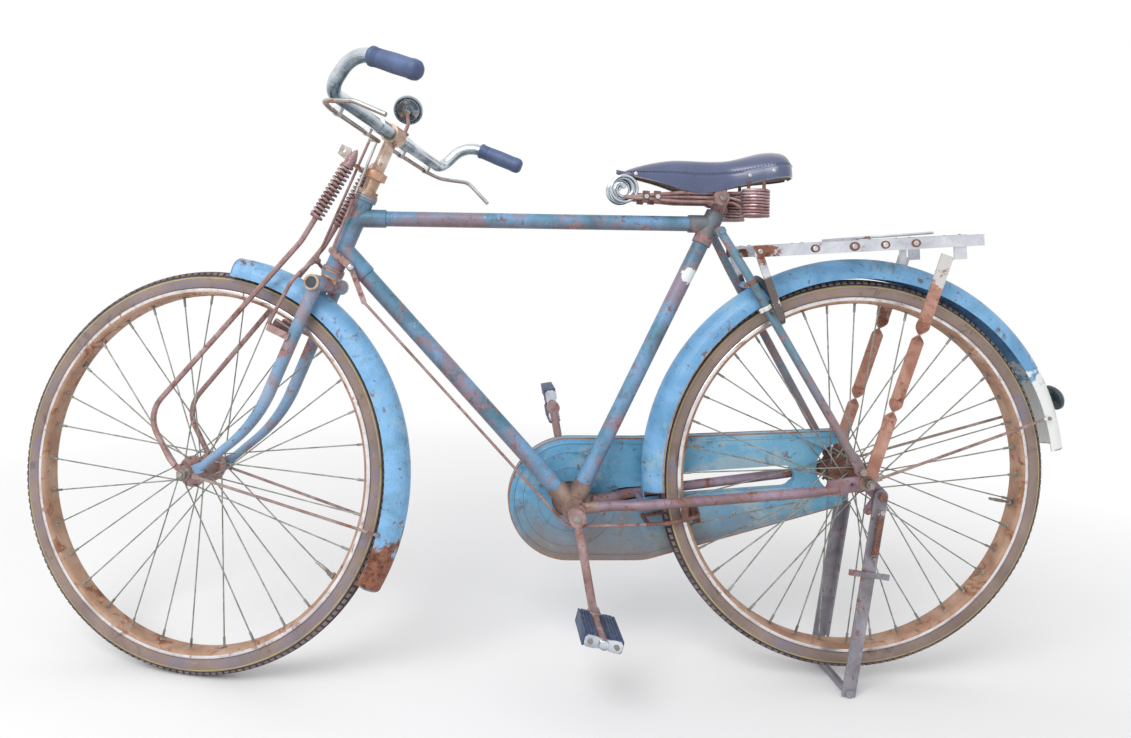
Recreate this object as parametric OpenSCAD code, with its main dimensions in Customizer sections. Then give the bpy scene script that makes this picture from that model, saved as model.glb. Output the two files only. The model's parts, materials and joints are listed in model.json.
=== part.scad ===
// Roadster bicycle with rod brakes, fork springs, chaincase, carrier and rear stand.
// X runs from the front wheel to the rear wheel, +Y is the drive side, +Z is up.
// The origin lies on the ground, below the middle of the whole bicycle's box.
// Pieces are drawn level, with both tyres on the ground below the rear axle's x = 0,
// and parked() then tips the bicycle onto its stand.

/* [Wheels] */
// Distance between the two axles
wheelbase = 1177; // [1150:1:1420]
// Radius of the tyres' tread
tyre_r = 355; // [345:0.5:356]
// Width of the tyres
tyre_w = 40; // [36:0.5:42]
// Radius of the rims' inner face
rim_in_r = 311; // [305:0.5:314]
// Spokes in the front wheel
front_spokes_n = 32; // [24:8:40]
// Spokes in the rear wheel
rear_spokes_n = 40; // [24:8:40]
// Diameter of a spoke
spoke_d = 2.4; // [1.8:0.1:3]
// Radius of the wheel spindles
spindle_r = 4.8; // [4:0.1:5.5]

/* [Frame] */
// Head angle, measured from the vertical
head_tilt = 23.24; // [18:0.1:26]
// Forward offset of the front axle from the steering axis
fork_rake = 75; // [60:1:80]
// Lower end of the head tube, measured along the steering axis from the ground
head_low = 775; // [765:1:790]
// Length of the head tube
head_len = 140; // [120:1:170]
// Diameter of the head tube
head_d = 34; // [31:0.5:38]
// Bottom bracket's distance ahead of the rear axle
bb_ahead = 509.5; // [490:1:560]
// Height of the bottom bracket
bb_z = 294.3; // [280:1:310]
// Height of the top tube's axis
top_tube_z = 806; // [760:1:850]
// Diameter of the top tube
top_tube_d = 27; // [22:0.5:32]
// Diameter of the down tube
down_tube_d = 31; // [25:0.5:34]
// Diameter of the seat tube
seat_tube_d = 29; // [25:0.5:34]
// Lean of the seat tube from the vertical
seat_tilt = 25.3; // [18:0.1:28]
// Diameter of the chain stays
chain_stay_d = 18; // [14:0.5:20]
// Diameter of the seat stays
seat_stay_d = 15; // [12:0.5:16]
// Inner distance between the rear dropouts
rear_drop_w = 114; // [110:1:130]
// Thickness of the dropout plates
drop_t = 5; // [3:0.5:6]

/* [Fork and bars] */
// Rest angle of the steering, positive to the left
steer_rest = -14.2; // [-20:0.1:5]
// Turn of the handlebar out of line with the wheel
bar_twist = -7.5; // [-10:0.5:0]
// Fork crown's height along the steering axis
crown_s = 748; // [745:0.5:750]
// Diameter of the crown tube
crown_d = 28; // [24:0.5:30]
// Half distance between the fork blades' axes at the crown
blade_y = 44; // [42:0.5:48]
// Diameter of the steerer
steerer_d = 25.4; // [22:0.1:28]
// Height of the handlebar along the steering axis
bar_s = 1038; // [1020:1:1080]
// Diameter of the handlebar
bar_d = 22; // [20:0.5:25]
// Half width of the handlebar's straight part
bar_half = 190; // [160:1:210]
// Rise of the grips above the bar's straight part
bar_rise = 66; // [50:1:80]
// Length of a grip
grip_len = 80; // [64:1:84]

/* [Cranks and pedals] */
// Length of the cranks, from axle to pedal spindle
crank_len = 165; // [150:1:175]
// Rest angle of the left crank behind straight down
crank_rest = 10.3; // [0:0.1:30]
// Half length of the crank axle
crank_axle_half = 74; // [70:1:80]
// Length of a pedal
pedal_len = 92; // [80:1:105]
// Width of a pedal
pedal_w = 62; // [56:1:80]

/* [Guards, case and carrier] */
// Outer radius of the rear mudguard
rear_guard_r = 390; // [380:0.5:392]
// Outer radius of the front mudguard
front_guard_r = 383; // [380:0.5:386]
// Width of the mudguards
guard_w = 60; // [56:0.5:62]
// Rearward shift of the mudguards against their wheels
guard_shift = 5; // [0:0.5:6]
// Thickness of the mudguards' sheet
guard_t = 1.6; // [1:0.1:2.5]
// Radius of the chaincase around the chainwheel
case_r = 114; // [110:1:122]
// Radius of the chaincase around the rear sprocket
case_rear_r = 70; // [64:1:76]
// Length of the carrier
rack_len = 404; // [360:1:430]
// Width of the carrier
rack_w = 150; // [140:1:170]
// Height of the carrier's side rails
rack_h = 20; // [14:1:26]

/* [Stand] */
// Length of the stand from its pivot to its foot
stand_len = 352; // [340:1:356]
// Lean of the lowered stand ahead of the vertical
stand_lean = 8; // [4:0.5:12]
// Radius of the stand's foot tube
foot_r = 7; // [5:0.5:10]
// Half distance between the stand's legs
stand_half = 66; // [65:1:72]

/* [Hidden] */

// Facets of the curves
$fn = 64;
fine = 120;
// Gap between pieces that lie against each other along a curve
fit = 0.2;
// Radial running clearance of a shaft in its bore
run = 0.08;

// Paint and metal colours
blue = [0.37, 0.58, 0.72];
rust = [0.50, 0.33, 0.27];
steel = [0.72, 0.72, 0.70];
dark = [0.16, 0.17, 0.19];
rubber = [0.33, 0.30, 0.29];
alloy = [0.82, 0.82, 0.80];
grip_blue = [0.16, 0.22, 0.33];

// Vector helpers
function unit(v) = v / norm(v);
function mix(a, b, t) = a + (b - a) * t;

// Points of the polyline p with its inner corners rounded by the radii r, n points to a corner
function rounded(p, r, n = 6) = [
    p[0],
    for (i = [1 : len(p) - 2])
        let (
            d1 = unit(p[i] - p[i - 1]),
            d2 = unit(p[i + 1] - p[i]),
            turn = acos(d1 * d2),
            side = unit(d2 - (d1 * d2) * d1),
            start = p[i] - d1 * r[i - 1] * tan(turn / 2)
        )
        for (k = [0 : n])
            let (a = turn * k / n)
            start + r[i - 1] * (sin(a) * d1 + (1 - cos(a)) * side),
    p[len(p) - 1]
];

// Tube along a path of points, with one radius for each point
module sweep(path, radii, sides = 12) {
    last = len(path) - 1;
    tangent = [for (i = [0 : last]) unit(path[min(i + 1, last)] - path[max(i - 1, 0)])];
    seed = abs(tangent[0][1]) < 0.9 ? [0, 1, 0] : [1, 0, 0];
    first = unit(cross(tangent[0], seed));
    normals = [
        for (i = 0, u = first; i <= last;
             i = i + 1, u = i > last ? u : unit(u - (u * tangent[i]) * tangent[i]))
            u
    ];
    points = [
        for (i = [0 : last])
            let (u = normals[i], v = cross(tangent[i], u))
            for (k = [0 : sides - 1])
                let (a = 360 * k / sides)
                path[i] + radii[i] * (cos(a) * u + sin(a) * v)
    ];
    walls = [
        for (i = [0 : last - 1], k = [0 : sides - 1])
            let (a = i * sides + k, b = i * sides + (k + 1) % sides)
            [a, a + sides, b + sides, b]
    ];
    caps = [
        [for (k = [0 : sides - 1]) k],
        [for (k = [sides - 1 : -1 : 0]) last * sides + k]
    ];
    polyhedron(points, concat(walls, caps), convexity = 6);
}

module bent_tube(points, bend_r, d, sides = 12, n = 6) {
    path = rounded(points, bend_r, n);
    sweep(path, [for (p = path) d / 2], sides);
}

// Flat bar with half a turn of twist along its height h
module twisted_bar(h, w, t, steps = 12) {
    points = [
        for (i = [0 : steps], c = [[-1, -1], [1, -1], [1, 1], [-1, 1]])
            let (a = 180 * i / steps, x = c[0] * w / 2, y = c[1] * t / 2)
            [x * cos(a) - y * sin(a), x * sin(a) + y * cos(a), h * i / steps]
    ];
    walls = [
        for (i = [0 : steps - 1], k = [0 : 3])
            let (a = 4 * i + k, b = 4 * i + (k + 1) % 4)
            each [[a, a + 4, b + 4], [a, b + 4, b]]
    ];
    polyhedron(points, concat(walls, [[0, 1, 2, 3], [for (k = [3 : -1 : 0]) 4 * steps + k]]));
}

// Straight round bar from a to b
module rod(a, b, d) {
    v = b - a;
    translate(a)
        rotate([0, acos(v[2] / norm(v)), atan2(v[1], v[0])])
            cylinder(h = norm(v), d = d);
}

// Plate in the bicycle's side plane: outline in x and z, centred on y, t thick
module plate(y, t) {
    translate([0, y, 0]) rotate([90, 0, 0]) linear_extrude(t, center = true) children();
}

// Round pin across the bicycle from y0 to y1
module cross_pin(x, z, y0, y1, d) {
    translate([x, y0, z]) rotate([-90, 0, 0]) cylinder(h = y1 - y0, d = d);
}

// Flat strip with round ends between two points of the side plane
module strip(a, b, w) {
    turn = atan2(b[1] - a[1], b[0] - a[0]);
    polygon(concat(
        [for (i = [90 : 15 : 270]) a + w / 2 * [cos(turn + i), sin(turn + i)]],
        [for (i = [-90 : 15 : 90]) b + w / 2 * [cos(turn + i), sin(turn + i)]]
    ));
}

// Steering geometry: s runs up the steering axis from the ground, n runs forward from it
axle_s = (tyre_r - fork_rake * sin(head_tilt)) / cos(head_tilt);
axis_foot = -wheelbase - axle_s * sin(head_tilt) + fork_rake * cos(head_tilt);
function head_at(s, n = 0) = [
    axis_foot + s * sin(head_tilt) - n * cos(head_tilt), 0, s * cos(head_tilt) + n * sin(head_tilt)
];

// Steering frame: z runs up the steering axis, x to the rear, straight ahead or turned
module on_head() translate([axis_foot, 0, 0]) rotate([0, head_tilt, 0]) children();
module steered() on_head() rotate(steer_rest) children();

// Frame points
bb = [-bb_ahead, 0, bb_z];
seat_dir = [sin(seat_tilt), 0, cos(seat_tilt)];
function seat_at(z) = bb + seat_dir * (z - bb_z) / seat_dir[2];
head_top = head_low + head_len;
top_tube_front = head_at(top_tube_z / cos(head_tilt));
top_tube_back = seat_at(top_tube_z);
down_tube_front = head_at(head_low + 42);
down_dir = unit(bb - down_tube_front);
axle = [0, 0, tyre_r];
lug_wall = 2.5;
shell_d = 42;
shell_half = 34;
cup_y = shell_half + 6;

// Rear end
drop_y = rear_drop_w / 2 + drop_t / 2;
drop_out = rear_drop_w / 2 + drop_t;
stay_dir = unit([bb_ahead, 0, tyre_r - bb_z - 8]);
function stay_x(x) = bb_z + (x + bb_ahead) * stay_dir[2] / stay_dir[0];
stay_bolt = [-11, 0, tyre_r + 20];
strap_t = 3;
guard_eye_t = 2.5;
guard_eye_y = drop_out + guard_eye_t / 2;
strap_y = drop_out + guard_eye_t + fit + strap_t / 2;
strap_out = strap_y + strap_t / 2 + fit;

// Stand and parking: the ground touches the front tyre and the stand's foot
pivot = [24, 0, tyre_r - 23];
foot = pivot - stand_len * [sin(stand_lean), 0, cos(stand_lean)];
steered_axle = [
    axis_foot + axle_s * sin(head_tilt) - fork_rake * cos(steer_rest) * cos(head_tilt),
    -fork_rake * sin(steer_rest),
    axle_s * cos(head_tilt) + fork_rake * cos(steer_rest) * sin(head_tilt)
];
wheel_normal = [-sin(steer_rest) * cos(head_tilt), cos(steer_rest), sin(steer_rest) * sin(head_tilt)];
function tyre_reach(up) =
    (tyre_r - tyre_w / 2) * sqrt(1 - pow(wheel_normal * up, 2)) + tyre_w / 2;
gap_v = steered_axle - foot;
function tip(reach) =
    180 - asin((reach - foot_r) / norm([gap_v[0], gap_v[2]])) - atan2(gap_v[2], gap_v[0]);
rough_pitch = tip(tyre_reach([0, 0, 1]));
pitch = tip(tyre_reach([sin(rough_pitch), 0, cos(rough_pitch)]));
ground = foot[0] * sin(pitch) + foot[2] * cos(pitch) - foot_r;
// The turned bars set the box's middle to the left of the frame's plane
box_ahead = 1.1;
box_left = 39.2;
middle = (wheelbase + tyre_r - rear_guard_r) / 2 + box_ahead;
module parked() translate([middle, box_left, -ground]) rotate([0, -pitch, 0]) children();

// ---------------------------------------------------------------- frame

module head_tube() color(blue) parked() difference() {
    union() {
        on_head() {
            translate([0, 0, head_low]) cylinder(h = head_len, d = head_d);
            // lower and upper headset cups
            translate([0, 0, head_low - 8]) cylinder(h = 12, d = head_d + 6);
            translate([0, 0, head_top - 4]) cylinder(h = 11, d = head_d + 6);
        }
        rod(top_tube_front, top_tube_front + [52, 0, 0], top_tube_d + 2 * lug_wall);
        rod(down_tube_front, down_tube_front + down_dir * 62, down_tube_d + 2 * lug_wall);
    }
    on_head() translate([0, 0, head_low - 20])
        cylinder(h = head_len + 60, d = steerer_d + 2 * run, $fn = fine);
}

module top_tube() color(blue) parked()
    rod(top_tube_front + [52, 0, 0], top_tube_back - [40, 0, 0], top_tube_d);

module down_tube() color(blue) parked()
    rod(down_tube_front + down_dir * 62, bb - down_dir * 46, down_tube_d);

module seat_tube() color(blue) parked()
    rod(bb + seat_dir * 46, top_tube_back - seat_dir * 40, seat_tube_d);

// Seat lug with its clamp ears and the bolt that holds the seat stays
lug_top = seat_at(top_tube_z + 20);
stay_top = seat_at(top_tube_z - 14) + [9, 0, 0];
module seat_lug() color(blue) parked() {
    rod(top_tube_back - seat_dir * 40, lug_top, seat_tube_d + 2 * lug_wall);
    rod(top_tube_back - [40, 0, 0], top_tube_back, top_tube_d + 2 * lug_wall);
    cross_pin(stay_head[0], stay_head[2], -20, 20, 18);
}

// Bottom bracket shell with its lugs and bearing cups, bored for the crank axle
chain_lug_y = 24;
chain_knee_y = 40;
module bottom_bracket() color(blue) parked() difference() {
    union() {
        cross_pin(bb[0], bb[2], -shell_half, shell_half, shell_d);
        cross_pin(bb[0], bb[2], -cup_y, cup_y, shell_d - 6);
        rod(bb, bb - down_dir * 46, down_tube_d + 2 * lug_wall);
        rod(bb, bb + seat_dir * 46, seat_tube_d + 2 * lug_wall);
        for (side = [-1, 1])
            rod(bb + [0, side * chain_lug_y, 0], bb + [0, side * chain_lug_y, 0] + stay_dir * 44,
                chain_stay_d + 2);
    }
    cross_pin(bb[0], bb[2], -60, 60, crank_spindle_d + 2 * run, $fn = fine);
}

// Outline of a rear dropout plate, with its ear for the seat stay
module drop_outline() {
    strip([-58, tyre_r - 10], [4, tyre_r], 26);
    strip([4, tyre_r], [stay_bolt[0], stay_bolt[2]], 20);
    strip([0, tyre_r], [pivot[0], pivot[2]], 26);
    strip([pivot[0], pivot[2]], [stop[0], stop[2]], 14);
}

// Line of the right chain stay from its lug round the tyre to the dropout
stay_root = bb + [0, chain_lug_y, 0] + stay_dir * 44;
chain_line = [
    stay_root,
    stay_root + stay_dir * 10,
    [-436, chain_lug_y + 1, stay_x(-436)],
    [-392, chain_knee_y, stay_x(-392)],
    [-340, chain_knee_y + 4, stay_x(-340)],
    [-120, drop_y, stay_x(-120)],
    [-52, drop_y, stay_x(-52)]
];
function side_point(p, side) = [p[0], side * p[1], p[2]];

// Chain stay with its dropout, side -1 for the left and 1 for the right
module chain_stay(side) {
    path = rounded([for (p = chain_line) side_point(p, side)], [10, 60, 60, 150, 200], 3);
    last = len(path) - 1;
    sweep(path, [for (i = [0 : last]) chain_stay_d / 2 * (i > last - 1 ? 0.72 : 1)], 16);
    difference() {
        plate(side * drop_y, drop_t) drop_outline();
        cross_pin(0, tyre_r, -90, 90, 2 * spindle_r + 2 * run, $fn = fine);
        cross_pin(-26, tyre_r - 4, -90, 90, 7);
        cross_pin(pivot[0], pivot[2], -90, 90, pivot_d + 2 * run);
        cross_pin(stop[0], stop[2], -90, 90, 8 + 2 * run);
        cross_pin(stay_bolt[0], stay_bolt[2], -90, 90, 7 + 2 * run);
    }
}
module left_chain_stay() color(rust) parked() chain_stay(-1);
// The bridge between the chain stays is part of the right one
module right_chain_stay() color(rust) parked() {
    chain_stay(1);
    cross_pin(bridge_x, bridge_z, -bridge_half, chain_knee_y - 4, bridge_d);
}
bridge_d = 10;
bridge_z = stay_x(-384);
bridge_x = guard_shift - sqrt(pow(rear_guard_r, 2) - pow(tyre_r + 2 - bridge_z, 2)) - bridge_d / 2 - fit;
bridge_half = chain_knee_y - chain_stay_d / 2 - 1;

// Seat stay: bolted to the seat lug above and to the dropout's ear below
stay_eye_t = 2.5;
stay_eye_y = drop_out + stay_eye_t / 2;
stay_knee_y = guard_w / 2 + 4 + seat_stay_d / 2;
stay_head = stay_top + [8, 0, 0];
module seat_stay(side) {
    top = [stay_head[0], side * 27, stay_head[2]];
    low = [stay_bolt[0], side * stay_eye_y, stay_bolt[2]];
    knee_at = mix(stay_head, stay_bolt, 0.17);
    knee = [knee_at[0], side * stay_knee_y, knee_at[2]];
    end = mix(low, knee, 24 / norm(knee - low));
    // eye and bolt at the seat lug
    cross_pin(top[0], top[2], side * 26 - 6, side * 26 + 6, 18);
    cross_pin(top[0], top[2], side * 34.5 - 2.5, side * 34.5 + 2.5, 12, $fn = 6);
    bent_tube([top, knee, end], [80], seat_stay_d, 16);
    plate(side * stay_eye_y, stay_eye_t)
        strip([low[0], low[2]], [end[0] - 1, end[2] + 3], seat_stay_d + 3);
    // bolt through the eye and the dropout's ear
    cross_pin(low[0], low[2], side * (drop_out - 1) - 8, side * (drop_out - 1) + 8, 7);
    head_y = stay_eye_y + stay_eye_t / 2 + 2;
    cross_pin(low[0], low[2], side * head_y - 2, side * head_y + 2, 12, $fn = 6);
}
module left_seat_stay() color(blue) parked() seat_stay(-1);
module right_seat_stay() color(blue) parked() seat_stay(1);

// ---------------------------------------------------------------- saddle

seat_post_d = 24;
post_top = lug_top + seat_dir * 26;
clamp_x = post_top[0] - 12;
clamp_z = post_top[2] + 2;
module seat_post() color(rust) parked() {
    rod(lug_top, post_top, seat_post_d);
    // clamp drum of the saddle, with its knurled washers
    cross_pin(clamp_x, clamp_z, -24, 24, 22);
    for (side = [-1, 1])
        cross_pin(clamp_x, clamp_z, side < 0 ? -36 : 31, side < 0 ? -31 : 36, 28);
    cross_pin(clamp_x, clamp_z, -42, 42, 9);
}

// Saddle frame: wires from the nose coils past the clamp to the two rear springs
wire_d = 6.4;
wire_y = 27.5;
wire_rise = 4.5 + wire_d / 2 + fit;
nose_coil = [clamp_x - 172, 22, clamp_z + 18];
nose_coil_r = 18.5;
rear_spring = [clamp_x + 50, 62, clamp_z - 12];
spring_h = 50;
spring_r = 25;
module saddle_frame() color(steel) parked() {
    for (side = [-1, 1]) {
        // wires above and below the clamp's pin
        bent_tube([[nose_coil[0] + 6, side * nose_coil[1], nose_coil[2] - nose_coil_r],
                   [clamp_x - 70, side * wire_y, clamp_z + wire_rise],
                   [clamp_x + 24, side * wire_y, clamp_z + wire_rise],
                   [rear_spring[0] - 4, side * (rear_spring[1] - 4), rear_spring[2] + spring_h / 2 - 6]],
                  [60, 16], wire_d, 8, 3);
        bent_tube([[nose_coil[0] + 2, side * nose_coil[1], nose_coil[2] - nose_coil_r],
                   [clamp_x - 70, side * wire_y, clamp_z - wire_rise],
                   [clamp_x + 24, side * wire_y, clamp_z - wire_rise],
                   [rear_spring[0] - 4, side * (rear_spring[1] - 4), rear_spring[2] - spring_h / 2 + 6]],
                  [60, 16], wire_d, 8, 3);
        // coil at the nose
        translate([nose_coil[0], side * nose_coil[1], nose_coil[2]]) rotate([90, 0, 0])
            rotate_extrude() translate([nose_coil_r, 0]) circle(d = 7);
        // rear coil spring, drawn as a ribbed drum
        translate([rear_spring[0], side * rear_spring[1], rear_spring[2] - spring_h / 2]) {
            cylinder(h = spring_h, r = spring_r - 4);
            for (k = [0 : 8])
                translate([0, 0, 3 + k * (spring_h - 6) / 8])
                    rotate_extrude() translate([spring_r - 2.8, 0]) circle(d = 5.6);
        }
        // uprights from the rear springs to the saddle
        for (dx = [-12, 15]) {
            x = rear_spring[0] + dx;
            low_z = rear_spring[2] + spring_h / 2 - 2;
            translate([x, side * rear_spring[1], low_z])
                cylinder(h = saddle_under(x) - 0.6 - low_z, d = 6);
        }
    }
    // bridge between the nose coils, which the saddle's nose rests on
    cross_pin(nose_coil[0], nose_coil[2] + nose_coil_r, -nose_coil[1], nose_coil[1], 7);
    // clips below the nose
    for (x = [nose_coil[0] + 40, nose_coil[0] + 60]) cross_pin(x, clamp_z, -28, 28, 14);
}

// Saddle: stations along its length, each with a domed section over a flat underside
saddle_len = 309;
saddle_rear = clamp_x + 128;
saddle_base = clamp_z + 22;
function bump(t, at, width) = exp(-pow((t - at) / width, 2));
nose_t = (saddle_rear - nose_coil[0]) / saddle_len;
nose_lift = nose_coil[2] + nose_coil_r + 3.5 + 2 * fit - saddle_base;
// lower edge, top and half width at t, from 0 at the rear to 1 at the nose
function saddle_low(t) = saddle_base + 12 * bump(t, 0.05, 0.2) - 4 * bump(t, 0.5, 0.2)
    + nose_lift * pow(t / nose_t, 4);
function saddle_top(t) = saddle_base + 47 + 15 * bump(t, 0.13, 0.18) - 12 * pow(t, 6);
function saddle_half(t) = t < 0.42
    ? mix(100, 38, pow(sin(90 * t / 0.42), 1.6)) : mix(38, 21, (t - 0.42) / 0.58);
function saddle_round(t, back) =
    sqrt(1 - pow(max(0, 1 - t / back), 2)) * sqrt(1 - pow(max(0, (t - 0.92) / 0.08), 2));
function saddle_under(x) = saddle_low((saddle_rear - x) / saddle_len);
module saddle() color(grip_blue) parked() {
    rings = 26;
    sides = 18;
    points = [
        for (i = [0 : rings])
            let (t = 0.5 - 0.5 * cos(4 + 172 * i / rings),
                 half = saddle_half(t) * saddle_round(t, 0.2),
                 low = saddle_low(t), top = mix(low + 10, saddle_top(t), saddle_round(t, 0.08)))
            for (k = [0 : sides - 1])
                let (a = 180 * k / (sides - 1))
                [saddle_rear - t * saddle_len, half * cos(a), low + (top - low) * pow(sin(a), 0.7)]
    ];
    walls = [
        for (i = [0 : rings - 1], k = [0 : sides - 1])
            let (a = i * sides + k, b = i * sides + (k + 1) % sides)
            [a, a + sides, b + sides, b]
    ];
    caps = [
        [for (k = [0 : sides - 1]) k],
        [for (k = [sides - 1 : -1 : 0]) rings * sides + k]
    ];
    polyhedron(points, concat(walls, caps), convexity = 4);
}

// ---------------------------------------------------------------- wheels

rim_half = tyre_w / 2 - 1.5;
rim_t = 2;
rim_depth = 12;
hub_r = 15;
flange_r = 27;
flange_t = 3;
front_flange_y = 30;
rear_flange_y = 31;

// A wheel piece is drawn around the y axis at the origin, outline in radius and width
module around_axle() rotate([90, 0, 0]) rotate_extrude($fn = fine) children();

module tyre() around_axle() {
    intersection() {
        translate([tyre_r - tyre_w / 2, 0]) circle(d = tyre_w);
        translate([rim_in_r + rim_depth + 3, -50]) square([100, 100]);
    }
    seat = rim_half - rim_t - 2;
    translate([rim_in_r + rim_t + fit, -seat]) square([rim_depth + 3, 2 * seat]);
}

module rim() around_axle() {
    translate([rim_in_r, -rim_half]) square([rim_t, 2 * rim_half]);
    for (side = [-1, 1]) {
        translate([rim_in_r, side * (rim_half - rim_t / 2) - rim_t / 2]) square([rim_depth, rim_t]);
        translate([rim_in_r + rim_depth - 1, side * (rim_half - 1)]) circle(d = 4);
    }
}

// Crossed spokes: each leaves its flange at an angle and ends at a nipple under the rim
module spokes(count, flange_y) {
    hole_r = flange_r - 4;
    for (i = [0 : count - 1]) {
        side = i % 2 == 0 ? -1 : 1;
        lean = (floor(i / 2) % 2 == 0 ? -1 : 1) * 58;
        at = 360 * i / count;
        outer = (floor(i / 2) % 2 == 0 ? 1 : -1);
        y = side * (flange_y + outer * (flange_t / 2 + spoke_d / 2 + (outer > 0 ? 0.9 : 0.3)));
        start = [hole_r * cos(at + lean), y, hole_r * sin(at + lean)];
        end = [(rim_in_r - fit) * cos(at), side * 3, (rim_in_r - fit) * sin(at)];
        neck = mix(end, start, 16 / norm(end - start));
        rod(start, mix(end, start, 1 / norm(end - start)), spoke_d);
        rod(neck, mix(end, start, 0.6 / norm(end - start)), spoke_d + 2);
    }
}

// Hub drawn with its bore: barrel, flanges and cone covers
module hub(flange_y, half) difference() {
    union() {
        around_axle() {
            translate([0, -half]) square([11, 2 * half]);
            translate([0, -flange_y]) square([hub_r, 2 * flange_y]);
            for (side = [-1, 1])
                translate([0, side * flange_y - flange_t / 2]) square([flange_r, flange_t]);
        }
        children();
    }
    rotate([90, 0, 0]) cylinder(h = 200, r = spindle_r + run, center = true, $fn = fine);
}

module at_rear() translate(axle) children();
module at_front() translate([-fork_rake, 0, axle_s]) children();

module front_tyre() color(rubber) parked() steered() at_front() tyre();
module front_rim() color(rust) parked() steered() at_front() rim();
module front_spokes() color(steel) parked() steered() at_front() spokes(front_spokes_n, front_flange_y);
module front_hub() color(rust) parked() steered() at_front() hub(front_flange_y, front_hub_half);

module rear_tyre() color(rubber) parked() at_rear() tyre();
module rear_rim() color(rust) parked() at_rear() rim();
module rear_spokes() color(steel) parked() at_rear() spokes(rear_spokes_n, rear_flange_y);

// Rear hub with its toothed sprocket
sprocket_y = 46;
sprocket_r = 38;
sprocket_teeth = 18;
rear_hub_half = 50;
module rear_hub() color(steel) parked() at_rear() hub(rear_flange_y, rear_hub_half)
    translate([0, sprocket_y, 0]) rotate([90, 0, 0]) linear_extrude(3, center = true) {
        circle(r = sprocket_r - 4);
        for (i = [0 : sprocket_teeth - 1])
            rotate(360 * i / sprocket_teeth) translate([sprocket_r - 5, -2]) square([5, 4]);
    }

// Spindle across a wheel, with cones inside the dropouts and nuts outside
module spindle(cone_y, drop_half, nut_y) {
    cross_pin(0, 0, -(nut_y + 13), nut_y + 13, 2 * spindle_r, $fn = fine);
    for (side = [-1, 1]) {
        y0 = side < 0 ? -drop_half : cone_y;
        cross_pin(0, 0, y0, y0 + drop_half - cone_y, 20);
        n0 = side < 0 ? -nut_y - 2 : nut_y;
        cross_pin(0, 0, n0, n0 + 2, 24);
        h0 = side < 0 ? -nut_y - 10 : nut_y + 2;
        cross_pin(0, 0, h0, h0 + 8, 18, $fn = 6);
    }
}
module rear_axle() color(steel) parked() at_rear()
    spindle(rear_hub_half + 0.3, rear_drop_w / 2, strap_out);

// ---------------------------------------------------------------- mudguards

// Section of a mudguard: domed crown and straight skirts
module guard_section(r, skirt) {
    half = guard_w / 2;
    mid = r - half;
    inner = half - guard_t;
    polygon(concat(
        [[mid - skirt, -half]],
        [for (a = [-90 : 12 : 90]) [mid + half * cos(a), half * sin(a)]],
        [[mid - skirt, half], [mid - skirt, inner]],
        [for (a = [90 : -12 : -90]) [mid + inner * cos(a), inner * sin(a)]],
        [[mid - skirt, -inner]]
    ));
}
// Arc of sheet from angle a0 to a1, measured from the rear, upwards
module guard_arc(a0, a1) rotate([90, 0, 0]) rotate([0, 0, a0])
    rotate_extrude(angle = a1 - a0, $fn = fine) children();

rear_guard_from = 7.5;
rear_guard_to = 185;
rear_stay_at = 17.5;
front_guard_from = -6;
front_guard_to = 105.5;
front_stay_at = 9;
module shifted() translate([guard_shift, 0, 2]) children();

// A mudguard's wire stay: from an eye on the spindle to a button on the guard's skirt
module guard_stay(r, at, side, eye_y) {
    reach = r - guard_w / 2 - 2;
    tab = 24;
    end = [guard_shift + reach * cos(at), side * (guard_w / 2 + 3 + fit), 2 + reach * sin(at)];
    begin = [tab * cos(at), side * eye_y, tab * sin(at)];
    sweep([begin, end], [2.5, 2.5]);
    cross_pin(end[0], end[2], end[1] - 2.5, end[1] + 2.5, 8);
    difference() {
        union() {
            cross_pin(0, 0, side * eye_y - guard_eye_t / 2, side * eye_y + guard_eye_t / 2, 28);
            translate([0, side * eye_y, 0]) rotate([0, -at, 0]) translate([0, -guard_eye_t / 2, -4])
                cube([tab + 3, guard_eye_t, 8]);
        }
        cross_pin(0, 0, -100, 100, 2 * spindle_r + 2 * run, $fn = fine);
    }
}

// The bridge between the seat stays stands on the guard's crown
stay_bridge = mix(stay_head, stay_bolt, 0.236) - axle;
bridge_at = atan2(stay_bridge[2], stay_bridge[0]);
module rear_mudguard() color(blue) parked() at_rear() {
    shifted() {
        guard_arc(rear_guard_from, rear_guard_to) guard_section(rear_guard_r, 5);
        // tongue from the guard's front end down to the bridge of the chain stays
        guard_arc(rear_guard_to - 1, rear_guard_to + 3.2)
            translate([rear_guard_r - guard_t - 0.3, -9]) square([guard_t, 18]);
        rotate([0, -bridge_at, 0])
            cross_pin(rear_guard_r + 4, 0, seat_stay_d / 2 - stay_knee_y,
                      stay_knee_y - seat_stay_d / 2, 12);
    }
    for (side = [-1, 1]) guard_stay(rear_guard_r, rear_stay_at, side, guard_eye_y);
}

reflector_at = 20.5;
module rear_reflector() color(dark) parked() at_rear() shifted() rotate([0, -reflector_at, 0])
    translate([rear_guard_r + fit, 0, 0]) rotate([0, 90, 0]) {
        cylinder(h = 6, d = 14);
        translate([0, 0, 6]) cylinder(h = 5, d = 46);
        intersection() {
            translate([0, 0, 11 - 14]) sphere(r = 26.6);
            translate([0, 0, 11]) cylinder(h = 30, d = 50);
        }
    }

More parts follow.
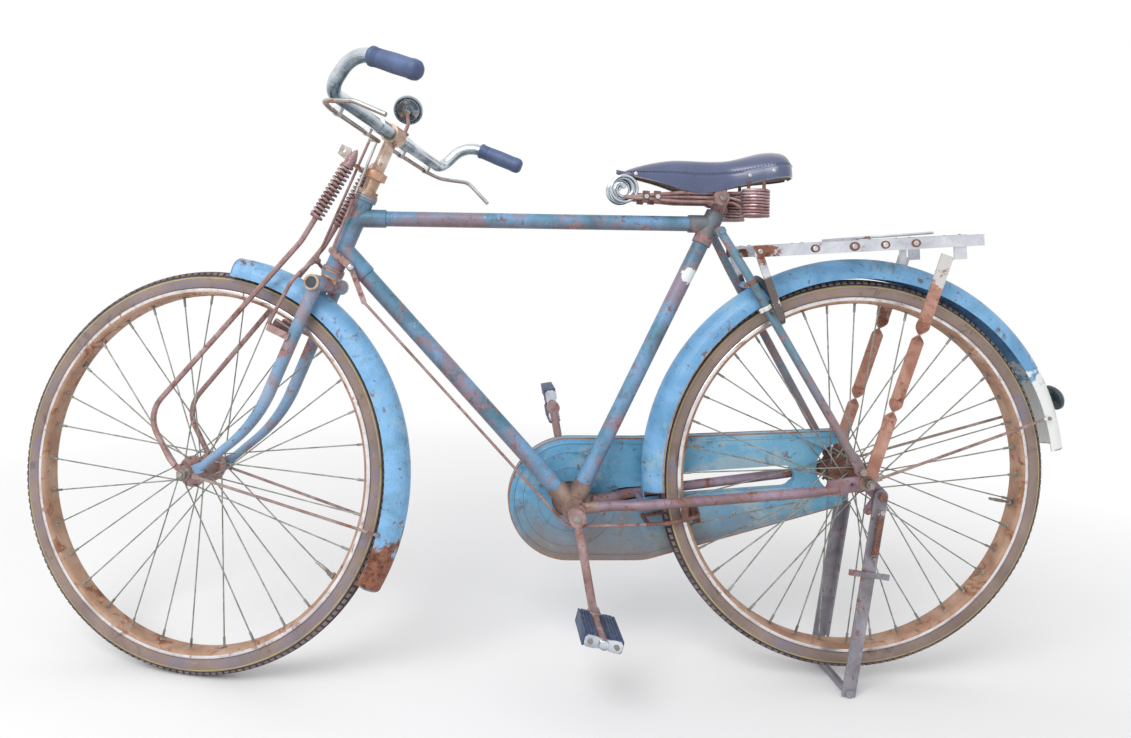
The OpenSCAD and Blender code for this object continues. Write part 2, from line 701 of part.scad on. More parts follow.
// Front mudguard hangs from the crown and follows the wheel's rear half
front_hub_half = 42;
front_drop_half = 47.5;
front_eye_y = front_drop_half + 4 + guard_eye_t / 2;
strut_eye_t = 3;
front_nut_y = front_drop_half + 4 + guard_eye_t + strut_eye_t;
crown_from_guard = [crown_s - axle_s - 2, fork_rake - guard_shift];
crown_up = atan2(crown_from_guard[0], crown_from_guard[1]);
crown_gap = norm(crown_from_guard) - crown_d / 2 - front_guard_r;
module front_mudguard() color(blue) parked() steered() at_front() {
    shifted() {
        guard_arc(front_guard_from, front_guard_to) guard_section(front_guard_r, 5);
        // spacer up to the crown tube
        rotate([0, -crown_up, 0]) translate([front_guard_r - 1, 0, 0]) rotate([0, 90, 0])
            cylinder(h = crown_gap + 1 - fit, d = 16);
    }
    for (side = [-1, 1]) guard_stay(front_guard_r, front_stay_at, side, front_eye_y);
}

// ---------------------------------------------------------------- chaincase

case_in = 36;
case_out = 56;
case_wall = 1.5;
case_stretch = 125;
case_axis = [-bb_ahead, bb_z];
// Outer tangent between two circles of centres a, b and radii ra, rb; side 1 above, -1 below
function tangent_points(a, ra, b, rb, side) =
    let (v = b - a, base = atan2(v[1], v[0]), t = base + side * acos((ra - rb) / norm(v)))
    [a + ra * [cos(t), sin(t)], b + rb * [cos(t), sin(t)]];
module taper(a, ra, b, rb) {
    up = tangent_points(a, ra, b, rb, 1);
    down = tangent_points(a, ra, b, rb, -1);
    translate(a) circle(r = ra, $fn = fine);
    translate(b) circle(r = rb, $fn = fine);
    polygon([a, up[0], up[1], b, down[1], down[0]]);
}
module case_outline(inset) {
    mid = case_axis + [case_stretch, 0];
    taper(case_axis, case_r - inset, mid, case_r - inset);
    taper(mid, case_r - inset, [0, tyre_r], case_rear_r - inset);
}
// Opening between the chain's two runs, which the chain stay passes through
slot_front = [-336, stay_x(-336) + 9];
slot_rear = [-108, stay_x(-108) + 2];
slot_r = 21;
module case_slot(grow) taper(slot_front, slot_r + grow, slot_rear, slot_r + grow);
module chaincase() color(blue) parked() difference() {
    plate((case_in + case_out) / 2, case_out - case_in) case_outline(0);
    difference() {
        plate((case_in + case_out) / 2, case_out - case_in - 2 * case_wall) case_outline(case_wall);
        plate((case_in + case_out) / 2, 60) case_slot(case_wall);
    }
    plate((case_in + case_out) / 2, 60) case_slot(0);
    // hole for the bottom bracket on the inner side and for the crank on the outer side
    cross_pin(bb[0], bb[2], 0, case_in + 5, shell_d + 26);
    cross_pin(bb[0], bb[2], case_out - 5, 80, 44);
    // the rear cap is missing, so the case ends open around the sprocket
    cross_pin(0, tyre_r, 0, 90, 92);
    translate([6, 0, 0]) cube([200, 200, 800]);
    // way of the chain stay from the inner side out through the opening
    for (i = [0 : len(chain_line) - 2])
        rod(side_point(chain_line[i], 1), side_point(chain_line[i + 1], 1), chain_stay_d + 6);
    // notch that the seat stay passes through
    rod([stay_bolt[0], stay_eye_y, stay_bolt[2]],
        [mix(stay_head, stay_bolt, 0.17)[0], stay_knee_y, mix(stay_head, stay_bolt, 0.17)[2]],
        seat_stay_d + 4);
}

// ---------------------------------------------------------------- carrier

rack_tilt = 3.8;
rack_front = [-213, tyre_r + 401];
rail_t = 3;
rack_y = rack_w / 2 - rail_t / 2;
cross_at = [10, 106, 175, 229, 302, rack_len - 10];
module on_rack() translate([rack_front[0], 0, rack_front[1]]) rotate([0, -rack_tilt, 0]) children();
module carrier() color(alloy) parked() {
    on_rack() {
        for (side = [-1, 1]) {
            translate([0, side * rack_y - rail_t / 2, -rack_h / 2]) cube([rack_len, rail_t, rack_h]);
            // rivet heads
            for (x = [10, 106, 175, 229, 283])
                translate([x, side * (rack_w / 2), 0]) rotate([-90 * side, 0, 0]) cylinder(h = 1.5, d = 9);
            // tab down to the stay
            translate([352, side * (rack_y - rail_t) - rail_t / 2, -rack_h / 2 - 22])
                cube([22, rail_t, 30]);
        }
        for (x = cross_at)
            translate([x - 10, -rack_y, rack_h / 2 - 3 - 0.8]) cube([20, 2 * rack_y, 3]);
        // middle strips along the deck
        for (y = [-22, 22])
            translate([0, y - 6, rack_h / 2 - 0.8]) cube([rack_len, 12, 2]);
        // spring bail on top
        bent_tube([[180, -40, rack_h / 2 + 4], [338, -40, rack_h / 2 + 7], [338, 40, rack_h / 2 + 7],
                   [180, 40, rack_h / 2 + 4]], [10, 10], 5, 8, 3);
        translate([172, -44, rack_h / 2 - 1]) cube([14, 88, 7]);
    }
    // front strips down to the seat stays
    for (side = [-1, 1])
        plate(side * (rack_y - rail_t), rail_t)
            strip([rack_front[0] + 8, rack_front[1] + 1], [clamp_at[0] + 12, clamp_at[2] - 8], 13);
    // clamps on the seat stays
    for (side = [-1, 1]) {
        face = clamp_stay_y + seat_stay_d / 2 + fit;
        width = rack_y - rail_t - face;
        cross_pin(clamp_at[0] + 4, clamp_at[2], side * (face + width / 2) - width / 2,
                  side * (face + width / 2) + width / 2, 12);
    }
    // bracket up from the mudguard to the cross strip
    post_top = rack_front[1] + (post_x - rack_front[0]) * tan(rack_tilt) + rack_h / 2 - 5;
    post_low = tyre_r + 2 + sqrt(pow(rear_guard_r, 2) - pow(post_x - guard_shift, 2)) + 1;
    translate([post_x - 1.5, -10, post_low]) cube([3, 20, post_top - post_low]);
}
post_x = 89;
clamp_k = 0.336;
clamp_at = mix(stay_head, stay_bolt, clamp_k);
clamp_stay_y = mix(stay_knee_y, stay_eye_y, (clamp_k - 0.17) / 0.83);

// Twisted strips from the carrier down to the rear spindle
strip_w = 22;
stay_low = [0, 0, tyre_r];
module twisted_stay(side) {
    top = [129, 0, tyre_r + 396];
    run_v = top - stay_low;
    len_v = norm(run_v);
    low_y = strap_y;
    top_y = rack_y - 2 * rail_t;
    twist_len = 34;
    spans = [0.29 * len_v, 0.63 * len_v];
    lean_y = atan2(top_y - low_y, len_v);
    translate([0, side * low_y, tyre_r]) rotate([0, atan2(run_v[0], run_v[2]), 0])
        rotate([-side * lean_y, 0, 0]) difference() {
            union() {
                translate([-strip_w / 2, -strap_t / 2, 0]) cube([strip_w, strap_t, spans[0]]);
                translate([-strip_w / 2, -strap_t / 2, spans[0] + twist_len])
                    cube([strip_w, strap_t, spans[1] - spans[0] - twist_len]);
                translate([-strip_w / 2, -strap_t / 2, spans[1] + twist_len])
                    cube([strip_w, strap_t, len_v - spans[1] - twist_len + 4]);
                for (z = spans) translate([0, 0, z]) twisted_bar(twist_len, strip_w, strap_t);
                rotate([90, 0, 0]) cylinder(h = strap_t, d = strip_w + 4, center = true);
            }
            rotate([90, 0, 0]) cylinder(h = 20, r = spindle_r + run, center = true, $fn = fine);
        }
}
module carrier_stays() color(rust) parked() for (side = [-1, 1]) twisted_stay(side);

// Ring lock behind the seat stays, open towards the hub
lock_at = 117.5;
lock_in_r = 43;
lock_w = 9;
lock_t = 10;
module ring_lock() color(dark) parked() at_rear() rotate([0, -lock_at, 0])
    translate([rear_guard_r + 4 - lock_in_r, 0, 0]) {
        rotate(215) rotate_extrude(angle = 290, $fn = fine)
            translate([lock_in_r, -lock_t / 2]) square([lock_w, lock_t]);
        // lugs against the seat stays
        for (side = [-1, 1])
            translate([-10, side * (lock_in_r + 4) - 3, 0]) cube([20, 6, lock_t / 2 + lock_gap]);
    }
lock_gap = 4.4;

// ---------------------------------------------------------------- brakes on the frame

link_y = -25;
rod_top = head_at(905, 15);
rod_low = head_at(809, 12.4);
crank_pivot = [-907, link_y, 719];
crank_low = [-884, link_y, 659];
stirrup_front = [-376, 0, 268];
module brake_linkage() color(rust) parked() {
    // pull rod from the steering to the bell crank
    top = rod_top + [0, link_y, 0];
    low = rod_low + [0, link_y, 0];
    rod(top, low, 5);
    rod(top, mix(top, low, 0.12), 7);
    // bell crank on its pivot at the head lug
    plate(link_y, 4) {
        strip([low[0], low[2]], [crank_pivot[0], crank_pivot[2]], 12);
        strip([crank_pivot[0], crank_pivot[2]], [crank_low[0], crank_low[2]], 9);
    }
    cross_pin(crank_pivot[0], crank_pivot[2], link_y - 6, -head_d / 2 - fit, 10);
    // long rod beside the down tube, then back to the stirrup
    bent_tube([crank_low, [-520, link_y, 264], stirrup_front + [-4 - fit, link_y, 0]], [30], 5, 12);
}

// Rear stirrup: a fork of round bar below the chain stays, with pads under the rim
rear_stirrup_y = 30;
module rear_brake() color(rust) parked() {
    pad_at = [-pad_r * 0.972, 0, tyre_r - pad_r * 0.235];
    for (side = [-1, 1]) {
        bent_tube([stirrup_front + [0, side * 22, 0], [-345, side * rear_stirrup_y, 271],
                   [pad_at[0] + 4, side * rear_stirrup_y, pad_at[2]],
                   [pad_at[0] + 4, side * (pad_y - 1), pad_at[2]]],
                  [20, 10], 7, 10, 3);
        translate([pad_at[0], side * pad_y, pad_at[2]]) rotate([0, -13.6, 0])
            cube([13, 9, 34], center = true);
        // guide hung from the chain stay
        guide_top = stay_x(-312) + 4;
        stay_in = mix(chain_knee_y + 4, drop_y, 0.1) - chain_stay_d / 2 - fit;
        translate([-318, side * rear_stirrup_y - 2, 274]) cube([12, 4, guide_top - 274]);
        translate([-318, side > 0 ? rear_stirrup_y : -stay_in, guide_top - 8])
            cube([12, stay_in - rear_stirrup_y, 8]);
    }
    cross_pin(stirrup_front[0], stirrup_front[2], -27, 27, 8);
}

// ---------------------------------------------------------------- stand

module stand_bracket() color(rust) parked() for (side = [-1, 1]) {
    inner = rear_drop_w / 2 - 2;
    outer = stand_half + 10;
    mid = side * (inner + outer) / 2;
    cross_pin(pivot[0], pivot[2], mid - (outer - inner) / 2, mid + (outer - inner) / 2, pivot_d);
    cross_pin(pivot[0], pivot[2], side * (outer - 2.5) - 2.5, side * (outer - 2.5) + 2.5, 15, $fn = 6);
    // pin that the lowered leg stops against
    cross_pin(stop[0], stop[2], side * (drop_out + 2) - 4, side * (drop_out + 2) + 4, 8);
}

// Two legs of angle section with a foot tube between them
leg_t = 3;
leg_w = 24;
pivot_d = 8;
lean_down = [sin(stand_lean), 0, cos(stand_lean)];
stop = pivot - 30 * lean_down + (leg_w / 2 + 4 + fit) * [-lean_down[2], 0, lean_down[0]];
module on_stand() translate(pivot) rotate([0, 180 + stand_lean, 0]) children();
module stand_legs() color(rust) parked() on_stand() {
    for (side = [-1, 1]) difference() {
        union() {
            translate([-leg_w / 2, side * stand_half - leg_t / 2, 0])
                cube([leg_w, leg_t, stand_len + 6]);
            rotate([90, 0, 0]) translate([0, 0, -side * stand_half])
                cylinder(h = leg_t, d = leg_w, center = true);
            // inner flange along the rear edge
            translate([-leg_w / 2, side * (stand_half - 8) - 8, 46]) cube([leg_t, 16, stand_len - 90]);
        }
        rotate([90, 0, 0]) cylinder(h = 300, d = pivot_d + 2 * run, center = true, $fn = fine);
    }
    translate([0, 0, stand_len]) rotate([90, 0, 0])
        cylinder(h = 2 * stand_half + 10, r = foot_r, center = true);
    // lug across the left leg
    translate([-36, -stand_half - leg_t / 2 - 3, 134]) cube([72, 3 + fit, 10]);
}

// Return spring along the left leg, on two studs of the leg
spring_y = stand_half + leg_t / 2 + 8.5;
module stand_spring() color(rust) parked() on_stand() {
    translate([0, -spring_y, 30]) {
        cylinder(h = 74, d = 9);
        for (k = [0 : 17]) translate([0, 0, 2.4 + k * 4.05])
            rotate_extrude() translate([4.6, 0]) circle(d = 3.6);
    }
    for (z = [26, 108]) {
        translate([0, -spring_y, z]) rotate([90, 0, 0])
            cylinder(h = 2 * (spring_y - stand_half - leg_t / 2 - fit), d = 7, center = true);
        translate([0, -spring_y, z]) sphere(d = 9);
    }
}

// ---------------------------------------------------------------- fork and steering

module steering_column() color(rust) parked() steered() {
    translate([0, 0, crown_s - 2]) cylinder(h = 960 - crown_s, d = steerer_d, $fn = fine);
    // bearing race below, lock nut above
    race_s = crown_s + crown_d / 2 + fit;
    translate([0, 0, race_s]) cylinder(h = head_low - 8 - fit - race_s, d = head_d + 2);
    translate([0, 0, head_top + 7 + fit]) cylinder(h = 9, d = head_d + 4, $fn = 8);
    // stem and handlebar lug
    translate([0, 0, 952]) cylinder(h = 16, d = 31);
    difference() {
        union() {
            translate([0, 0, 950]) cylinder(h = bar_s - 950, d = 22.2);
            rotate(bar_twist) translate([0, 0, bar_s]) rotate([90, 0, 0])
                cylinder(h = 34, d = bar_d + 12, center = true);
        }
        rotate(bar_twist) translate([0, 0, bar_s]) rotate([90, 0, 0])
            cylinder(h = 80, d = sleeve_d + 2 * fit, center = true);
    }
}
sleeve_d = bar_d + 4;

module fork() color(blue) parked() steered() {
    difference() {
        cross_pin(0, crown_s, -blade_y - 16, blade_y + 16, crown_d);
        for (side = [-1, 1])
            cross_pin(0, crown_s, side * (blade_y + 17) - 3, side * (blade_y + 17) + 3, crown_d - 8);
        translate([0, 0, crown_s - 2]) cylinder(h = 60, d = steerer_d + 2 * fit, $fn = fine);
    }
    for (side = [-1, 1]) {
        path = rounded([
            [0, side * blade_y, crown_s - 6],
            [3, side * (blade_y + 1), 485],
            [-fork_rake + 20, side * (front_drop_half + 2), axle_s + 20]
        ], [230], 10);
        last = len(path) - 1;
        sweep(path, [for (i = [0 : last]) mix(11.5, 7.5, i / last)], 18);
        translate([-fork_rake, side * (front_drop_half + 2), axle_s]) difference() {
            union() {
                cross_pin(0, 0, -2, 2, 22);
                rotate([0, -45, 0]) translate([0, -2, -9]) cube([32, 4, 18]);
            }
            cross_pin(0, 0, -20, 20, 2 * spindle_r + 2 * run, $fn = fine);
        }
    }
}

module front_axle() color(steel) parked() steered() at_front()
    spindle(front_hub_half + 0.3, front_drop_half, front_nut_y);

// Fork springs: coils around the tops of the struts, held by a strap from the stem
strut_y = 45;
spring_top = [-31, 0, 980];
spring_low = [-50, 0, 849];
spring_strap_s = 958;
spring_strap_t = 3;
module fork_springs() color(rust) parked() steered() {
    for (side = [-1, 1]) {
        shift = [0, side * strut_y, 0];
        dir = spring_top - spring_low;
        translate(spring_low + shift) rotate([0, atan2(dir[0], dir[2]), 0]) {
            cylinder(h = norm(dir) - 22, d = 19);
            for (k = [0 : 11])
                translate([0, 0, 6 + k * 8.4]) rotate_extrude() translate([11, 0]) circle(d = 4.6);
            translate([0, 0, norm(dir) - 24]) cylinder(h = 16, d = 20);
            translate([0, 0, norm(dir) - 8]) cylinder(h = 14, d1 = 16, d2 = 3);
        }
    }
    // strap between the spring tops and round the stem
    translate([0, 0, spring_strap_s]) linear_extrude(spring_strap_t) difference() {
        union() {
            strip([-34, -strut_y], [-34, strut_y], 16);
            translate([-34, -9]) square([34, 18]);
            circle(d = 40);
        }
        circle(d = 31 + 2 * fit);
        translate([-pull_x, 0]) circle(d = 9);
    }
}

// Struts from the springs down in front of the blades to the front spindle
module fork_struts() color(rust) parked() steered() for (side = [-1, 1]) {
    eye_y = side * (front_eye_y + guard_eye_t / 2 + strut_eye_t / 2);
    dir = unit(spring_low - spring_top);
    begin = [spring_low[0], side * strut_y, spring_low[2]] + [dir[0], 0, dir[2]] * fit;
    bent_tube([
        begin,
        begin + dir * 46,
        [-fork_rake - 109, side * 58, axle_s + 61],
        [-fork_rake - 36, eye_y, axle_s + 10],
        [-fork_rake - 21, eye_y, axle_s + 4]
    ], [80, 50, 20], 10, 8);
    translate([-fork_rake, eye_y, axle_s]) difference() {
        union() {
            cross_pin(0, 0, -strut_eye_t / 2, strut_eye_t / 2, 26);
            rotate([0, 11, 0]) translate([-25, -strut_eye_t / 2, -5]) cube([25, strut_eye_t, 9]);
        }
        cross_pin(0, 0, -100, 100, 2 * spindle_r + 2 * run, $fn = fine);
    }
}

// Lamp bracket: a pierced upright plate on a foot bolted to the strap
lamp_bolt_r = 3.2;
lamp_hole = [-62, 0, 977];
lamp_y = -24;
module lamp_bracket() color(alloy) parked() steered() {
    translate([-45, lamp_y - 1.5, spring_strap_s + spring_strap_t]) cube([16, 16, 3]);
    difference() {
        plate(lamp_y, 3) polygon([
            [-45, spring_strap_s + spring_strap_t], [-33, spring_strap_s + spring_strap_t],
            [-53, lamp_hole[2] + 9], [-71, lamp_hole[2] + 9], [-71, lamp_hole[2] - 9]
        ]);
        cross_pin(lamp_hole[0], lamp_hole[2], lamp_y - 5, lamp_y + 5, 2 * lamp_bolt_r, $fn = fine);
    }
}

// Front brake: pull rod, stirrup over the crown, pads under the rim and guides on the blades
pull_x = 38;
arm_s = bar_s - 22.8;
pull_top = arm_s - 3.5 - 2 * fit;
pad_y = 14.5;
pad_r = rim_in_r - 14;
stirrup_y = 60;
stirrup_top = 779;
module front_brake() color(rust) parked() steered() {
    rod([-pull_x, 0, pull_top], [-pull_x, 0, stirrup_top], 5);
    pad_at = [-fork_rake + pad_r * 0.12, 0, axle_s + pad_r * sqrt(1 - 0.12 * 0.12)];
    for (side = [-1, 1]) {
        bent_tube([
            [-pull_x, 0, stirrup_top], [-33, side * 34, stirrup_top - 12], [-36, side * stirrup_y, 736],
            [pad_at[0] - 4, side * stirrup_y, pad_at[2]], [pad_at[0] - 2, side * (pad_y - 1), pad_at[2] - 2]
        ], [16, 22, 12], 7, 8, 3);
        translate([pad_at[0], side * pad_y, pad_at[2]]) rotate([0, 7, 0])
            cube([34, 9, 13], center = true);
        // guide from the blade's outer face to the stirrup
        translate([pad_at[0] - 4, side * (blade_y + 13.7) - 2, 640])
            cube([4 - pad_at[0], 4, 12]);
    }
    cross_pin(-pull_x, stirrup_top, -7, 7, 12);
}

// Handlebar: straight middle, then up and back to the grips
bar_back = 136;
function bar_points(side) = [
    [0, side * 20, bar_s],
    [0, side * (bar_half + 28), bar_s],
    [22, side * (bar_half + 42), bar_s + bar_rise],
    [bar_back, side * (bar_half + 56), bar_s + bar_rise]
];
module handlebar() color(steel) parked() steered() rotate(bar_twist) {
    translate([0, 0, bar_s]) rotate([90, 0, 0]) cylinder(h = 120, d = sleeve_d, center = true);
    for (side = [-1, 1]) bent_tube(bar_points(side), [28, 50], bar_d, 20, 8);
}
// Closed rubber grips over the bar's ends
grip_wall = 4;
grip_end = 8;
module grips() color(grip_blue) parked() steered() rotate(bar_twist) for (side = [-1, 1]) {
    end = bar_points(side)[3];
    dir = unit(end - bar_points(side)[2]);
    bore = bar_d / 2 + fit;
    outer = bore + grip_wall;
    translate(end - dir * grip_len) rotate([0, acos(dir[2]), atan2(dir[1], dir[0])])
        rotate_extrude() polygon(concat(
            [[0, grip_len + fit], [bore, grip_len + fit], [bore, 0], [outer, 0]],
            [for (a = [0 : 15 : 90]) [outer * cos(a), grip_len + grip_wall + grip_end * sin(a)]]
        ));
}

// Brake levers: rods below the bar, turning in lugs, with blades under the grips
link_radius = [-15, link_y];
function turned(p, a) = [p[0] * cos(a) - p[1] * sin(a), p[0] * sin(a) + p[1] * cos(a)];
lever_x = -14;
lever_s = bar_s - bar_d / 2 - 10;
module brake_levers() color(rust) parked() steered() {
    rotate(bar_twist) for (side = [-1, 1]) {
        droop = side < 0 ? 6 : 28;
        bent_tube([[lever_x, side * 14, lever_s], [-6, side * bar_half, lever_s],
              [4, side * (bar_half + 38), lever_s + 2], [60, side * (bar_half + 46), bar_s - 4],
              [118, side * (bar_half + 46), bar_s - droop]], [40, 20, 30], 7.5, 10, 3);
        // lugs on the bar that the lever's rod turns in
        for (y = [66, bar_half - 20])
            translate([mix(lever_x, -6, y / bar_half) - 4, side * y - 4, lever_s - 5])
                cube([12, 8, 15 - 2 * fit]);
    }
    // arm to the front brake's rod, and the upper part of the rear brake's rod
    foot_xy = turned(link_radius, -steer_rest);
    arm = turned([lever_x, -20], bar_twist);
    rod([-pull_x, 0, arm_s], [arm[0], arm[1], lever_s], 7);
    rod([foot_xy[0], foot_xy[1], head_top], [arm[0], arm[1], lever_s], 5);
}

// Bell: a domed gong on a back plate, on a stalk clamped beside the stem
bell_at = [-14, 34, bar_s + 56];
bell_d = 54;
module bell() color(steel) parked() steered() rotate(bar_twist) {
    foot_at = [0, bell_at[1] - 2, bar_s + bar_d / 2 + 2 + fit];
    sweep([foot_at + [0, 0, 2], bell_at + [3.5, -6.1, -3.7]], [3.5, 3.5]);
    translate(foot_at) cylinder(h = 4, d = 16);
    translate(bell_at) rotate([-62, 0, 30]) rotate(40) rotate_extrude() polygon(concat(
        [[0, -12], [6, -12], [6, -2], [bell_d / 2 - 3, -2], [bell_d / 2, 0], [bell_d / 2, 5]],
        [for (a = [0 : 10 : 80]) [bell_d * 0.46 * cos(a), 6 + bell_d * 0.33 * sin(a)]],
        [[0, 6 + bell_d * 0.33]]
    ));
}

// ---------------------------------------------------------------- cranks and pedals

crank_spindle_d = 16;
crank_y = 66;
eye_y = 80;
crank_end_r = 15;
chainwheel_r = 88;
module crank_axle() color(steel) parked()
    cross_pin(bb[0], bb[2], -crank_axle_half, crank_axle_half, crank_spindle_d, $fn = fine);

// Crank arm pointing down, with its bored boss, cotter pin and pedal eye
module crank_arm(side) difference() {
    union() {
        cross_pin(0, 0, side * crank_y - 10, side * crank_y + 10, 2 * crank_end_r);
        rod([0, side * (crank_y + 2), -10], [0, side * eye_y, -crank_len + 8], 15);
        cross_pin(0, -crank_len, side * eye_y - 7, side * eye_y + 7, 24);
        // cotter pin
        translate([-9 * side, side * crank_y, -14]) cylinder(h = 32, d = 7);
    }
    cross_pin(0, 0, -100, 100, crank_spindle_d + 2 * run, $fn = fine);
    cross_pin(0, -crank_len, -120, 120, pedal_pin_d + 2 * run, $fn = fine);
}
module left_crank() color(rust) parked() translate(bb) rotate([0, -crank_rest, 0]) crank_arm(-1);
// The right crank carries the chainwheel inside the case
module right_crank() color(rust) parked() translate(bb) rotate([0, 180 - crank_rest, 0]) {
    crank_arm(1);
    difference() {
        union() {
            cross_pin(0, 0, sprocket_y - 1.5, sprocket_y + 1.5, 2 * chainwheel_r);
            cross_pin(0, 0, sprocket_y - 1.5, crank_y - 9, 34);
        }
        cross_pin(0, 0, -100, 100, crank_spindle_d + 2 * run, $fn = fine);
    }
}

// Pedal: spindle, end plates and two rubber blocks
pedal_pin_d = 9;
module pedal(side) {
    y0 = eye_y + 7 + 5;
    y1 = y0 + pedal_len;
    lo = min(side * (eye_y - 7), side * (y1 - 4));
    hi = max(side * (eye_y - 7), side * (y1 - 4));
    cross_pin(0, 0, lo, hi, pedal_pin_d);
    cross_pin(0, 0, min(side * y0, side * y1), max(side * y0, side * y1), 16);
    for (y = [y0, y1 - 4])
        translate([-pedal_w / 2, side < 0 ? -y - 4 : y, -10]) cube([pedal_w, 4, 20]);
    for (x = [-1, 1])
        translate([x * (pedal_w / 2 - 9) - 11, side < 0 ? -y1 + 4 : y0 + 4, -11])
            cube([22, pedal_len - 8, 22]);
    // dust cap
    cross_pin(0, 0, min(side * y1, side * (y1 + 7)), max(side * y1, side * (y1 + 7)), 17);
}
module left_pedal() color(dark) parked()
    translate(bb + crank_len * [sin(crank_rest), 0, -cos(crank_rest)]) rotate([0, 14, 0]) pedal(-1);
module right_pedal() color(dark) parked()
    translate(bb - crank_len * [sin(crank_rest), 0, -cos(crank_rest)]) rotate([0, 80, 0]) pedal(1);

head_tube();
top_tube();
down_tube();
seat_tube();
seat_lug();
bottom_bracket();
left_chain_stay();
right_chain_stay();
left_seat_stay();
right_seat_stay();
seat_post();
saddle_frame();
saddle();
rear_axle();
rear_mudguard();
rear_reflector();
chaincase();
carrier();
carrier_stays();
ring_lock();
rear_brake();
brake_linkage();
stand_bracket();
steering_column();
fork();
fork_springs();
fork_struts();
front_axle();
front_mudguard();
front_brake();
handlebar();
grips();
brake_levers();
bell();
lamp_bracket();
front_tyre();
front_rim();
front_spokes();
front_hub();
rear_tyre();
rear_rim();
rear_spokes();
rear_hub();
crank_axle();
left_crank();
right_crank();
left_pedal();
right_pedal();
stand_legs();
stand_spring();
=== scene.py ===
"""Looks of an old roadster bicycle.

Weathered finishes for the frame parts, and modelled tyres, rims, springs, saddle, grips,
bell, pedals and small fixings. Every piece rides on the body that it belongs to.
"""

import json
from math import acos, atan2, cos, exp, hypot, pi, radians, sin, sqrt

import bmesh
import bpy
from bpy.props import (
    FloatProperty,
    FloatVectorProperty,
    IntProperty,
    PointerProperty,
)
from mathutils import Matrix, Vector


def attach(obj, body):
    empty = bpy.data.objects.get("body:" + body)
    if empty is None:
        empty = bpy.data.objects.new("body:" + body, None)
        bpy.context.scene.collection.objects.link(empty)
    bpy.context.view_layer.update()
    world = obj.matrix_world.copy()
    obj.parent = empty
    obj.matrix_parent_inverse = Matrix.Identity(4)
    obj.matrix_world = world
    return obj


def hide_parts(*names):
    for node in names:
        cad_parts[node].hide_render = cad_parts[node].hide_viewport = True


bl_info = {
    "name": "Roadster Bicycle Looks",
    "version": (1, 0, 0),
    "blender": (4, 5, 0),
    "location": "View3D > Sidebar > Bicycle",
    "description": "Finishes and small parts for the roadster bicycle",
    "category": "Object",
}

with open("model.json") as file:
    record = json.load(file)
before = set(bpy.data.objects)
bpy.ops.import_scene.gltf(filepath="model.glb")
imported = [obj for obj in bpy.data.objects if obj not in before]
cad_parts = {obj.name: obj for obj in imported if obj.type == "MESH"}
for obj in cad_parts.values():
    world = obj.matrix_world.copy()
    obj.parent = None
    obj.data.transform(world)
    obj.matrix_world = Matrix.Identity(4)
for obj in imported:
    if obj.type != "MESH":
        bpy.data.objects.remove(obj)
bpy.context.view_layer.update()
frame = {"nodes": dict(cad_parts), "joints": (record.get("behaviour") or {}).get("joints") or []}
NODES = frame["nodes"]
JOINT = {j["name"]: j for j in frame["joints"]}
MM = 0.001
SIDES = {-1: "left", 1: "right"}


# ---------------------------------------------------------------- places on the bicycle

# All in millimetres: BIKE places unless a line says HEAD, BAR or of a wheel.
HEAD_ANGLE = radians(23.24)  # of the steering axis, with both tyres on the ground
TYRE_R = 355.0
RIM_R = 311.0
BAR_TWIST = radians(-7.5)
BAR_S = 1038.0  # height of the bar's middle along the steering axis, in HEAD
BAR_HALF = 218.0
STRUT_Y = 45.0
SPRING_TOP = Vector((-31, 0, 980))  # in HEAD
SPRING_FOOT = Vector((-50, 0, 849))  # in HEAD
CLAMP = Vector((-259.1, 0, 851.5))  # of the saddle, on the seat post
NOSE = Vector((-431.1, 22, 869.5))  # middle of a nose coil of the saddle
REAR_SPRING = Vector((-209.1, 62, 839.5))
BRACKET = Vector((-509.5, 0, 294.3))  # middle of the bottom bracket
CRANK_LEN, CRANK_REST = 165.0, radians(10.3)
PEDAL_TILT = {"left": 14, "right": 80}  # degrees about its spindle, at rest
STAND_PIVOT = Vector((24, 0, 332))
STAND_LEAN = radians(8)
STAND_HALF = 66.0
CASE_NEAR, CASE_FAR = 36.0, 56.0  # outer faces of the chaincase, in y
CARRIER_FOOT, CARRIER_TILT = Vector((-213, 0, 756)), radians(-3.8)
GUARD_SHIFT = Vector((5, 0, 2))  # from the wheel's middle to the middle of its guard's arc
GUARD_DEPTH, GUARD_HALF = 35.0, 30.0
# crown radius, angles of the tail and the nose, and angle of the stay's bolt, in a wheel's frame
REAR_GUARD = (390.0, 7.5, 185.0, 17.5)
FRONT_GUARD = (383.0, -6.0, 105.5, 9.0)


def shift(x, y=0.0, z=0.0):
    return Matrix.Translation((x, y, z))


def turn_about(axis, angle):
    return Matrix.Rotation(angle, 4, axis)


def metres(matrix):
    """The same placing with its offset turned from millimetres into metres."""
    placed = matrix.copy()
    placed.translation = matrix.translation * MM
    return placed


steer_axis = Vector(JOINT["steering"]["axis"]).normalized()
steer_foot = Vector(JOINT["steering"]["pos_m"])
front_hub_at = Vector(JOINT["front_wheel_spin"]["pos_m"])
front_axis = Vector(JOINT["front_wheel_spin"]["axis"]).normalized()
rear_hub_at = Vector(JOINT["rear_wheel_spin"]["pos_m"])
lean_back = HEAD_ANGLE - atan2(steer_axis.x, steer_axis.z)

